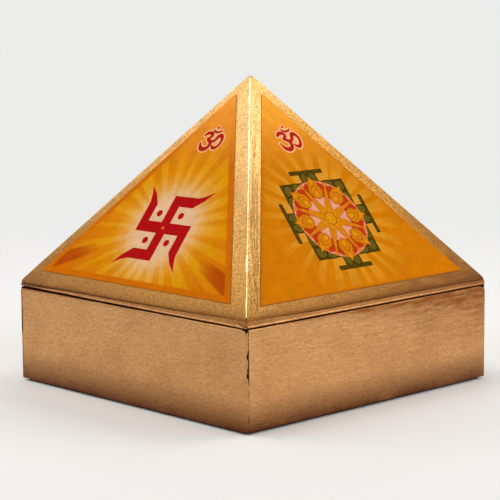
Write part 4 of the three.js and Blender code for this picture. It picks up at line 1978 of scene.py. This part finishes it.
def disc(centre: tuple[float, float], across: float, tall: float, steps: int) -> Array:
    """Outline of an ellipse.

    Args:
        centre: Its middle.
        across: Half its width.
        tall: Half its height.
        steps: Corners of the outline.

    Returns:
        Corners of the outline.
    """
    angle = np.linspace(0, 2 * math.pi, steps, endpoint=False)
    return np.stack((across * np.cos(angle), tall * np.sin(angle)), axis=-1) + np.array(centre)


def spun(outline: Array, degrees: float) -> Array:
    """An outline turned counter-clockwise about the origin."""
    cosine, sine = math.cos(math.radians(degrees)), math.sin(math.radians(degrees))
    return outline @ np.array(((cosine, sine), (-sine, cosine)))


@dataclass(frozen=True)
class OmSign:
    """The Om sign near a label's tip: red brush strokes on a cream ground that shows round them.

    Attributes:
        centre: Its middle, along and up the slope.
        lean: What it leans to the right for each millimetre up.
        outline: Width of the cream outline.
        dot_radius: Radius of its dot.
        boldness: What the widths of its strokes are scaled by.
    """

    centre: tuple[float, float] = (0.0, 54.9)
    lean: float = 0.0
    outline: float = 0.48
    dot_radius: float = 0.45
    boldness: float = 1.13

    TOP = (
        ((-3.6, 1.35), (-3.0, 2.0), (-2.0, 2.3), (-1.1, 2.15))
        + ((-0.6, 1.55), (-0.85, 0.9), (-1.45, 0.4), (-1.9, 0.15)),
        (0.7, 1.05, 1.1, 1.05, 0.98, 0.9, 0.85, 0.7),
    )
    BOWL = (
        ((-1.8, 0.1), (-1.1, -0.3), (-0.1, -0.7), (0.15, -1.6), (-0.05, -2.6), (-0.8, -3.3))
        + ((-1.9, -3.55), (-2.9, -3.15), (-3.6, -2.3), (-4.15, -1.25)),
        (0.7, 1.0, 1.12, 1.08, 1.12, 1.3, 1.38, 1.25, 0.9, 0.3),
    )
    TAIL = (
        ((-0.4, -0.65), (0.7, -0.6), (1.5, -0.05), (1.95, 0.95), (2.55, 1.6), (3.35, 1.55), (4.0, 0.85))
        + ((4.3, -0.1), (4.1, -1.4), (3.5, -2.4), (2.55, -2.8), (1.65, -2.5), (1.1, -1.9)),
        (0.8, 0.9, 0.92, 1.1, 1.28, 1.2, 0.98, 0.85, 0.88, 0.98, 1.05, 0.85, 0.4),
    )
    CRESCENT = (
        ((-1.15, 3.55), (-0.55, 3.0), (0.45, 2.68), (1.6, 2.88), (2.45, 3.35)),
        (0.3, 0.58, 0.66, 0.62, 0.4),
    )
    DOT = (0.2, 4.35)
    HOLLOWS = (((0.45, 0.95), 0.85, 1.35), ((2.9, -0.9), 0.75, 1.25), ((0.5, 3.5), 0.9, 0.6))

    def shapes(self, extra: float = 0.0) -> list[Array]:
        """Outlines of its strokes and its dot.

        Args:
            extra: What each is widened by, which is above 0 for the ground. That fills the hollows too.

        Returns:
            The outlines.
        """
        strokes = (self.TOP, self.BOWL, self.TAIL, self.CRESCENT)
        bold = self.boldness
        drawn = [ribbon(smooth_line(line, 6), np.array(widths) * bold, extra) for line, widths in strokes]
        across = self.dot_radius + extra
        drawn.append(disc(self.DOT, across, across, 16))
        if extra:
            drawn += [disc(middle, wide, tall, 16) for middle, wide, tall in self.HOLLOWS]
        leaning = np.array(((1.0, 0.0), (self.lean, 1.0)))
        return [shape @ leaning + np.array(self.centre) for shape in drawn]

    def place(self, label: Label, side: Side) -> None:
        """Lay the cream outline and the red strokes on a label.

        Args:
            label: The label that it lies on.
            side: The side that the label is on.
        """
        layers = (("om_outline", CREAM_INK, 0, self.outline), ("om", CRIMSON_INK, 1, 0.0))
        for name, ink, layer, extra in layers:
            surface = label.inked(self.shapes(extra), layer).turned(side)
            place_piece(f"{name}_{side.word}", surface, "lid", [ink])


@dataclass(frozen=True)
class SvastikaSign:
    """The right-facing svastika with four dots, the traditional sign of well-being.

    Attributes:
        centre: Its middle, along and up the slope.
        bar: Half the width of its bars.
        arm: Corners of the upper arm past the bar's first corner.
        dot_place: Distance of a dot from the middle, both ways.
        dot_radius: Radius of a dot.
        spot_radius: Radius of the small spot in the middle.
    """

    centre: tuple[float, float] = (-0.6, 23.75)
    bar: float = 1.85
    arm: tuple[tuple[float, float], ...] = (
        ((-1.85, 11.05), (8.05, 11.1), (11.0, 12.15), (13.6, 13.7))
        + ((10.95, 10.3), (7.55, 7.6), (1.85, 7.6))
    )
    dot_place: float = 4.65
    dot_radius: float = 1.12
    spot_radius: float = 0.52

    def place(self, label: Label, side: Side) -> None:
        """Lay the sign, its dots and its spot on a label.

        Args:
            label: The label that it lies on.
            side: The side that the label is on.
        """
        middle = np.array(self.centre)
        upper = np.array(((-self.bar, self.bar),) + self.arm)
        outline = np.concatenate([spun(upper, -90 * turn) for turn in range(4)]) + middle
        far = self.dot_place
        dots = [
            disc((middle[0] + x, middle[1] + y), self.dot_radius, self.dot_radius, 24)
            for x, y in ((far, far), (-far, far), (-far, -far), (far, -far))
        ]
        spot = disc(self.centre, self.spot_radius, self.spot_radius, 20)
        red = label.inked([outline] + dots, 0).turned(side)
        place_piece(f"svastika_{side.word}", red, "lid", [RED_INK])
        bright = label.inked([spot], 1).turned(side)
        place_piece(f"svastika_spot_{side.word}", bright, "lid", [SPOT_INK])


@dataclass(frozen=True)
class YantraSign:
    """A gated yantra: a green square with a gate on each side, round a lotus with an eight-pointed star.

    Attributes:
        centre: Its middle, along and up the slope.
        square: Half the square's side.
        gate_half: Half the width of a gate's neck.
        bar_half: Half the length of the bar that closes a gate.
        bar_inner: Distance of that bar's inner edge from the middle.
        bar_outer: Distance of its outer edge.
        disc_radius: Radius of the lotus.
    """

    centre: tuple[float, float] = (-0.05, 26.85)
    square: float = 12.85
    gate_half: float = 3.4
    bar_half: float = 6.75
    bar_inner: float = 15.5
    bar_outer: float = 16.95
    disc_radius: float = 13.1

    def repeated(self, shapes: Sequence[Array], count: int, first: float = 0.0) -> list[Array]:
        """Shapes drawn round the upward axis, repeated in even turns and moved to the sign's middle."""
        turns = [first + 360 / count * number for number in range(count)]
        return [spun(shape, turn) + np.array(self.centre) for turn in turns for shape in shapes]

    def box(self, left: float, right: float, low: float, high: float) -> Array:
        """Outline of a rectangle."""
        return np.array(((left, low), (right, low), (right, high), (left, high)))

    def leaf(self, foot: tuple[float, float], tip: tuple[float, float], width: float) -> Array:
        """Outline of a plump leaf: half its width by a power of the sine of the share travelled.

        Args:
            foot: Where it starts.
            tip: Where it ends.
            width: Its width.

        Returns:
            Corners of the outline.
        """
        start, end = np.array(foot), np.array(tip)
        share = np.linspace(0, 1, 13)[:, None]
        way = (end - start) / np.linalg.norm(end - start)
        square = np.array((-way[1], way[0]))
        bulge = width / 2 * np.sin(math.pi * share**0.85) ** 0.7
        middle = start + (end - start) * share
        return np.concatenate((middle + bulge * square, (middle - bulge * square)[-2:0:-1]))

    def place(self, label: Label, side: Side) -> None:
        """Lay the sign's inks on a label, from the lowest layer up.

        Args:
            label: The label that it lies on.
            side: The side that the label is on.
        """
        layers = (
            ("yantra_ground", TAN_INK, self.ground()),
            ("yantra_frame", DARK_GREEN_INK, self.frame()),
            ("yantra_leaf_lines", BLACK_GREEN_INK, self.leaves(0.28)),
            ("yantra_leaves", LEAF_GREEN_INK, self.leaves()),
            ("yantra_lotus", CLAY_INK, [disc(self.centre, self.disc_radius, self.disc_radius, 72)]),
            ("yantra_petals", PETAL_INK, self.petals()),
            ("yantra_blush", PINK_INK, self.blush()),
            ("yantra_outlines", RUST_INK, self.outlines()),
            ("yantra_star", AMBER_INK, self.star_and_buds()),
            ("yantra_lights", HONEY_INK, self.lights()),
            ("yantra_lines", RUST_INK, self.bud_lines()),
            ("yantra_heart", YELLOW_INK, self.heart()),
        )
        for layer, (name, ink, shapes) in enumerate(layers):
            surface = label.inked(shapes, layer).turned(side)
            place_piece(f"{name}_{side.word}", surface, "lid", [ink])

    def ground(self) -> list[Array]:
        """Tan patches beside each gate, under the ends of its bar."""
        out = self.bar_inner + 0.1
        right = self.box(self.gate_half - 0.2, self.bar_half - 0.5, self.square - 0.6, out)
        left = self.box(0.5 - self.bar_half, 0.2 - self.gate_half, self.square - 0.6, out)
        return self.repeated([left, right], 4)

    def frame(self) -> list[Array]:
        """The dark square with its four gates and their bars."""
        reach = self.square
        plate = self.box(-reach, reach, -reach, reach) + np.array(self.centre)
        neck = self.box(-self.gate_half, self.gate_half, reach - 0.5, self.bar_inner + 0.2)
        bar = self.box(-self.bar_half, self.bar_half, self.bar_inner, self.bar_outer)
        return [plate] + self.repeated([neck, bar], 4)

    def leaves(self, extra: float = 0.0) -> list[Array]:
        """Green leaves: two in each gate, and two along either edge of each corner.

        Args:
            extra: What each is widened by.

        Returns:
            Their outlines.
        """
        far, top = self.square, self.bar_inner + 0.5
        foot_up, tip_up, plump = far - 0.6 - extra, top + extra, 2.8 + 2 * extra
        in_gate = [self.leaf((x, foot_up), (x * 0.94, tip_up), plump) for x in (-1.7, 1.7)]
        runs = (((0.7, 1.9), (4.2, 1.7)), ((4.5, 1.5), (8.2, 1.1)))
        in_corner = []
        for start, end in runs:
            foot, tip = (far - start[0] + extra, far - start[1]), (far - end[0] - extra, far - end[1])
            in_corner.append(self.leaf(foot, tip, 2.3 + 2 * extra))
            in_corner.append(self.leaf(foot[::-1], tip[::-1], 2.3 + 2 * extra))
        return self.repeated(in_gate, 4) + self.repeated(in_corner, 4)

    def petals(self) -> list[Array]:
        """Sixteen red petals, in pairs beside each of the eight axes."""
        pair = [spun(self.leaf((0.0, 7.4), (0.0, 12.8), 4.4), turn) for turn in (-13.2, 13.2)]
        return self.repeated(pair, 8)

    def blush(self) -> list[Array]:
        """Eight pink triangles that point to the middle, and pink glints at the rim beside each point."""
        inner = np.array(((0.0, 3.4), (1.75, 7.4), (-1.75, 7.4)))
        glints = [self.leaf((0.8 * way, 12.45), (2.2 * way, 12.6), 0.5) for way in (-1, 1)]
        return self.repeated([inner], 8) + self.repeated(glints, 8, 22.5)

    def bud(self, extra: float) -> list[Array]:
        """A bud on the upward axis and the flame on its tip.

        Args:
            extra: What each is widened by.

        Returns:
            Their outlines.
        """
        cup = self.leaf((0.0, 6.9 - extra), (0.0, 12.8 + extra), 4.8 + 2 * extra)
        side = np.array(((-2.0, 11.5), (-1.25, 12.4), (-1.5, 13.1), (-0.5, 13.35)))
        side[:, 0] -= extra
        flame = np.concatenate((side, ((0.0, 14.6 + extra),), (side * np.array((-1, 1)))[::-1]))
        return [cup, flame]

    def outlines(self) -> list[Array]:
        """Rust ground that shows as a thin line round the buds and round the heart of the star."""
        return self.repeated(self.bud(0.22), 8)

    def star_and_buds(self) -> list[Array]:
        """The star of eight slender points between the axes, and a bud with a flame tip on each axis."""
        arm = np.array(((0.0, 3.8), (0.55, 6.4), (0.5, 9.6), (0.0, 12.8), (-0.5, 9.6), (-0.55, 6.4)))
        waist = np.array(((0.0, 3.9),))
        turns = 45 * np.arange(8)
        points = [part for turn in turns for part in (spun(arm[1:], turn), spun(waist, turn + 22.5))]
        star = np.concatenate(points)
        return [spun(star, 22.5) + np.array(self.centre)] + self.repeated(self.bud(0.0), 8)

    def bud_lines(self) -> list[Array]:
        """Thin rust lines: the cup and the heart of each bud, and the ring round the star's heart."""
        left_cup = ((-2.0, 8.4), (-1.6, 9.9), (-0.75, 11.0))
        cup = left_cup + ((0.0, 11.5),) + tuple((-x, up) for x, up in left_cup[::-1])
        heart = ((-0.8, 7.9), (-1.0, 8.9), (0.0, 10.0), (1.0, 8.9), (0.8, 7.9), (0.0, 7.4))
        ring = ((-0.78, 1.75), (-0.4, 2.05), (0.0, 2.15), (0.4, 2.05), (0.78, 1.75))
        lines = ((cup, 5, 0.3), (heart, 5, 0.26), (ring, 3, 0.3))
        drawn = [ribbon(smooth_line(line, steps), (0.2, widest, 0.2)) for line, steps, widest in lines]
        return self.repeated(drawn, 8)

    def lights(self) -> list[Array]:
        """Honey lights: an inner petal and a spark in each bud, and eight strokes round the middle."""
        petal = self.leaf((0.0, 7.4), (0.0, 10.3), 2.3)
        cheek = [self.leaf((x, 8.1), (x * 0.75, 10.7), 0.75) for x in (-1.9, 1.9)]
        spark = self.leaf((0.0, 11.9), (0.0, 13.9), 0.8)
        stroke = self.leaf((0.0, 1.2), (0.0, 3.6), 0.7)
        return self.repeated([petal, spark] + cheek, 8) + self.repeated([stroke], 8, 22.5)

    def heart(self) -> list[Array]:
        """The yellow heart of the star with eight small petals round it, and a yellow bead in each bud."""
        bead = disc((0.0, 8.7), 0.36, 0.52, 14)
        petal = self.leaf((0.0, 1.0), (0.0, 2.05), 0.72)
        return [disc(self.centre, 0.85, 0.85, 24)] + self.repeated([bead, petal], 8)


@dataclass
class Labels:
    """The four labels, with the sign that each side carries.

    Attributes:
        sizes: What the frame fixes.
    """

    sizes: Sizes

    MOTIFS = {
        Side.FRONT: Motif.YANTRA,
        Side.RIGHT: Motif.SVASTIKA,
        Side.BACK: Motif.YANTRA,
        Side.LEFT: Motif.SVASTIKA,
    }

    # For each side: the label's foot, half width, shift and lean, and the middle and lean of its Om
    LAID = {
        Side.FRONT: (3.5, 43.95, -0.5, 0.006, (0.4, 54.95), -0.02),
        Side.RIGHT: (3.9, 44.2, 0.3, -0.006, (0.2, 54.9), 0.02),
        Side.BACK: (3.8, 44.2, -0.2, 0.005, (0.1, 55.0), 0.0),
        Side.LEFT: (4.0, 43.95, -0.75, -0.003, (-0.5, 54.9), 0.0),
    }

    GLOWING = Sunburst(
        name="label_print_with_glow",
        centre=(-0.6, 23.75),
        glow="#ddb38a",
        halo="#d9a04a",
        ray="#dc9c0c",
        field="#d68808",
        rim="#c86c06",
        corner="#aa3e06",
        band="#c86806",
        band_width=1.9,
        glow_radius=21.5,
        rays_from=10.0,
        rays_to=46.0,
        rays=24,
        first_ray=3.0,
        contrast=0.75,
        corner_strength=0.85,
        tip="#ee9636",
    )

    PLAIN = replace(
        GLOWING,
        name="label_print_with_short_rays",
        centre=(-0.05, 26.85),
        glow="#cc7a08",
        halo="#cc7a08",
        ray="#d39226",
        field="#c27204",
        rim="#c47004",
        corner="#c47004",
        band="#c26c06",
        band_width=0.8,
        glow_radius=10.0,
        rays_to=27.0,
        first_ray=5.2,
        contrast=0.9,
        corner_strength=0.0,
        tip="#f0a034",
    )

    def build(self) -> None:
        """Lay a label on each slope, with its signs."""
        signs = {Motif.SVASTIKA: (SvastikaSign(), self.GLOWING), Motif.YANTRA: (YantraSign(), self.PLAIN)}
        for side, motif in self.MOTIFS.items():
            sign, ground = signs[motif]
            foot, half, shift, lean, om, om_lean = self.LAID[side]
            label = Label(self.sizes.slope, foot=foot, half_at_zero=half, shift=shift, lean=lean)
            printed = replace(ground, name=f"{ground.name}_{side.word}", label=label)
            paper, name = label.paper().turned(side), f"label_{side.word}"
            place_piece(name, paper, "lid", [printed, PAPER], [f"lid_{name}"])
            sign.place(label, side)
            OmSign(om, om_lean).place(label, side)


# Boards of the frame


@dataclass
class Woodwork:
    """The frame's own boards, blocks and pins, which keep their shape and get their finish.

    Attributes:
        nodes: The frame's nodes by name.
    """

    nodes: Mapping[str, bpy.types.Object]

    ALONG_Y = ("_left", "_right")
    BARE = ("base_wall", "base_liner", "base_floor", "corner_block", "tray_board", "lid_board")

    def build(self) -> None:
        """Dress every node that no piece stands for."""
        for name, node in self.nodes.items():
            if node.hide_render:
                continue
            if name.startswith("floor_pin"):
                finish: Finish = PIN_STEEL
            elif name.startswith(self.BARE):
                finish = PINE_ALONG_Y if name.endswith(self.ALONG_Y) else PINE_ALONG_X
            else:
                raise ValueError(f"no finish for {name}")
            node.data.materials.clear()
            node.data.materials.append(finish.material())
            log.info("%s: dressed in %s", name, finish.name)


# Studio


@dataclass(frozen=True)
class Studio:
    """Plain pale floor, soft lamps and the camera at the photograph's angle.

    Attributes:
        floor_radius: Radius of the floor, in metres.
        fade: Distances from the middle, in metres, where the floor starts to fade and where it has.
        pale: Colour of the background, and of the floor away from the object.
        paint: Colour of the floor's paint.
        sky: Colour of the light from all round.
        azimuth: Where the camera stands round the object, in degrees from the front.
        elevation: How far above the level it looks from, in degrees.
        roll: How far it is turned about its own axis, in degrees.
        aim: Point that it looks at, in metres.
        distance: Distance from that point, in metres.
        lens: Focal length for a frame 36 mm wide.
    """

    floor_radius: float = 14.0
    fade: tuple[float, float] = (0.12, 0.42)
    pale: str = "#ececeb"
    paint: str = "#dfdedc"
    sky: str = "#f3f1ee"
    azimuth: float = -43.63
    elevation: float = 8.55
    roll: float = 0.47
    aim: tuple[float, float, float] = (-0.000413, 0.000393, 0.03987)
    distance: float = 0.56
    lens: float = 133.17

    # Name, place and side in metres, and power in watts
    LAMPS = (
        ("top", (-0.3, 0.2, 1.15), 0.8, 6.0),
        ("right", (0.6, -0.95, 0.32), 0.8, 5.5),
        ("left", (-0.75, 0.9, 0.32), 0.8, 3.4),
        ("right high", (0.5, -0.2, 0.64), 0.34, 1.75),
        ("left high", (-0.2, 0.55, 0.6), 0.34, 0.72),
        ("fill", (-0.75, -0.85, 0.6), 0.8, 2.0),
        ("back", (0.75, 0.85, 0.6), 0.8, 2.2),
    )

    def build(self) -> None:
        """Set up the camera, the lamps, the world and the floor."""
        self.camera()
        self.floor()
        self.world()
        for name, place, size, power in self.LAMPS:
            self.lamp(name, place, size, power)

    def camera(self) -> None:
        """The camera's axes: right and up are level and upright ones, turned together by the roll."""
        a, e, r = (math.radians(angle) for angle in (self.azimuth, self.elevation, self.roll))
        back = Vector((math.sin(a) * math.cos(e), -math.cos(a) * math.cos(e), math.sin(e)))
        right = Vector((math.cos(a), math.sin(a), 0.0))
        up = back.cross(right)
        x_axis = right * math.cos(r) - up * math.sin(r)
        y_axis = right * math.sin(r) + up * math.cos(r)
        data = bpy.data.cameras.new("camera")
        data.lens, data.sensor_width = self.lens, 36.0
        data.clip_start, data.clip_end = 0.01, 50.0
        camera = bpy.data.objects.new("camera", data)
        bpy.context.scene.collection.objects.link(camera)
        turn = Matrix((x_axis, y_axis, back)).transposed().to_4x4()
        camera.matrix_world = Matrix.Translation(Vector(self.aim) + back * self.distance) @ turn
        bpy.context.scene.camera = camera

    def floor(self) -> None:
        """A wide disc with rings of vertices, which has one even tone past the shadow."""
        angle = np.linspace(0, 2 * math.pi, 96, endpoint=False)
        radii = np.geomspace(0.05, self.floor_radius, 24)[::-1]
        x, y = radii[:, None] * np.cos(angle) / MM, radii[:, None] * np.sin(angle) / MM
        surface = dome(xyz(x, y, 0.0), np.zeros(3))
        mesh = surface.mesh("floor")
        mesh.materials.append(self.floor_material())
        floor = bpy.data.objects.new("floor", mesh)
        bpy.context.scene.collection.objects.link(floor)

    def floor_material(self) -> bpy.types.Material:
        """Matt pale paint, which fades into the background's tone for the camera, metal and glass.

        Returns:
            The material.
        """
        made = bpy.data.materials.new("matt_pale_floor")
        made.use_nodes = True
        tree = made.node_tree
        tree.nodes.clear()
        add = partial(add_node, tree)
        where = add("TexCoord").outputs["Object"]
        far = add("VectorMath", {"operation": "LENGTH"}, {0: where})
        start, end = self.fade
        faded = add("MapRange", {**EASED, "From Min": start, "From Max": end}, {0: far})
        both = add("Math", {"operation": "MULTIPLY"}, {0: faded, 1: self.seen(add)})
        paint = add("BsdfPrincipled", {"Base Color": linear(self.paint), "Roughness": 0.85})
        even = add("Emission", {"Color": linear(self.pale), "Strength": 1.0})
        mixed = add("MixShader", links={0: both, 1: paint, 2: even})
        add("OutputMaterial", links={"Surface": mixed})
        return made

    def seen(self, add: Adder) -> Node:
        """1 for a ray from the camera or off metal or glass, 0 for light that falls on paint.

        Args:
            add: Adds one node to the tree.

        Returns:
            The amount.
        """
        path = add("LightPath").outputs
        either = add("Math", {"operation": "MAXIMUM"}, {0: path["Is Camera Ray"], 1: path["Is Glossy Ray"]})
        return add("Math", {"operation": "MAXIMUM"}, {0: either, 1: path["Is Transmission Ray"]})

    def world(self) -> None:
        """Even pale light from all round. The camera, metal and glass see the background's tone."""
        world = bpy.data.worlds.new("studio")
        world.use_nodes = True
        bpy.context.scene.world = world
        world.node_tree.nodes.clear()
        add = partial(add_node, world.node_tree)
        light = add("Background", {"Color": linear(self.sky), "Strength": 0.4})
        pale = add("Background", {"Color": linear(self.pale), "Strength": 1.0})
        mixed = add("MixShader", links={0: self.seen(add), 1: light, 2: pale})
        add("OutputWorld", links={"Surface": mixed})

    def lamp(self, name: str, place: tuple[float, float, float], size: float, power: float) -> None:
        """A square soft lamp that faces the object.

        Args:
            name: Its name.
            place: Where it hangs, in metres.
            size: Its side, in metres.
            power: Its power, in watts.
        """
        data = bpy.data.lights.new(name, "AREA")
        data.shape, data.size, data.energy = "SQUARE", size, power
        lamp = bpy.data.objects.new(name, data)
        lamp.location = place
        lamp.rotation_mode = "QUATERNION"
        lamp.rotation_quaternion = (Vector(self.aim) - Vector(place)).to_track_quat("-Z", "Y")
        bpy.context.scene.collection.objects.link(lamp)


def main() -> None:
    """Load the frame and build every class in order. The nodes that pieces stand for stay in the scene,
    hidden.
    """
    logging.basicConfig(level=logging.INFO, format="%(name)s: %(message)s")
    for stray in list(bpy.data.objects):
        bpy.data.objects.remove(stray)
    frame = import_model()
    bpy.context.scene.view_settings.view_transform = "Standard"
    studio = Studio()
    studio.build()
    sizes = Sizes.read()
    Box(sizes).build()
    Tray(sizes).build()
    Lid(sizes).build()
    Labels(sizes).build()
    Woodwork(frame["nodes"]).build()


if __name__ == "__main__":
    main()
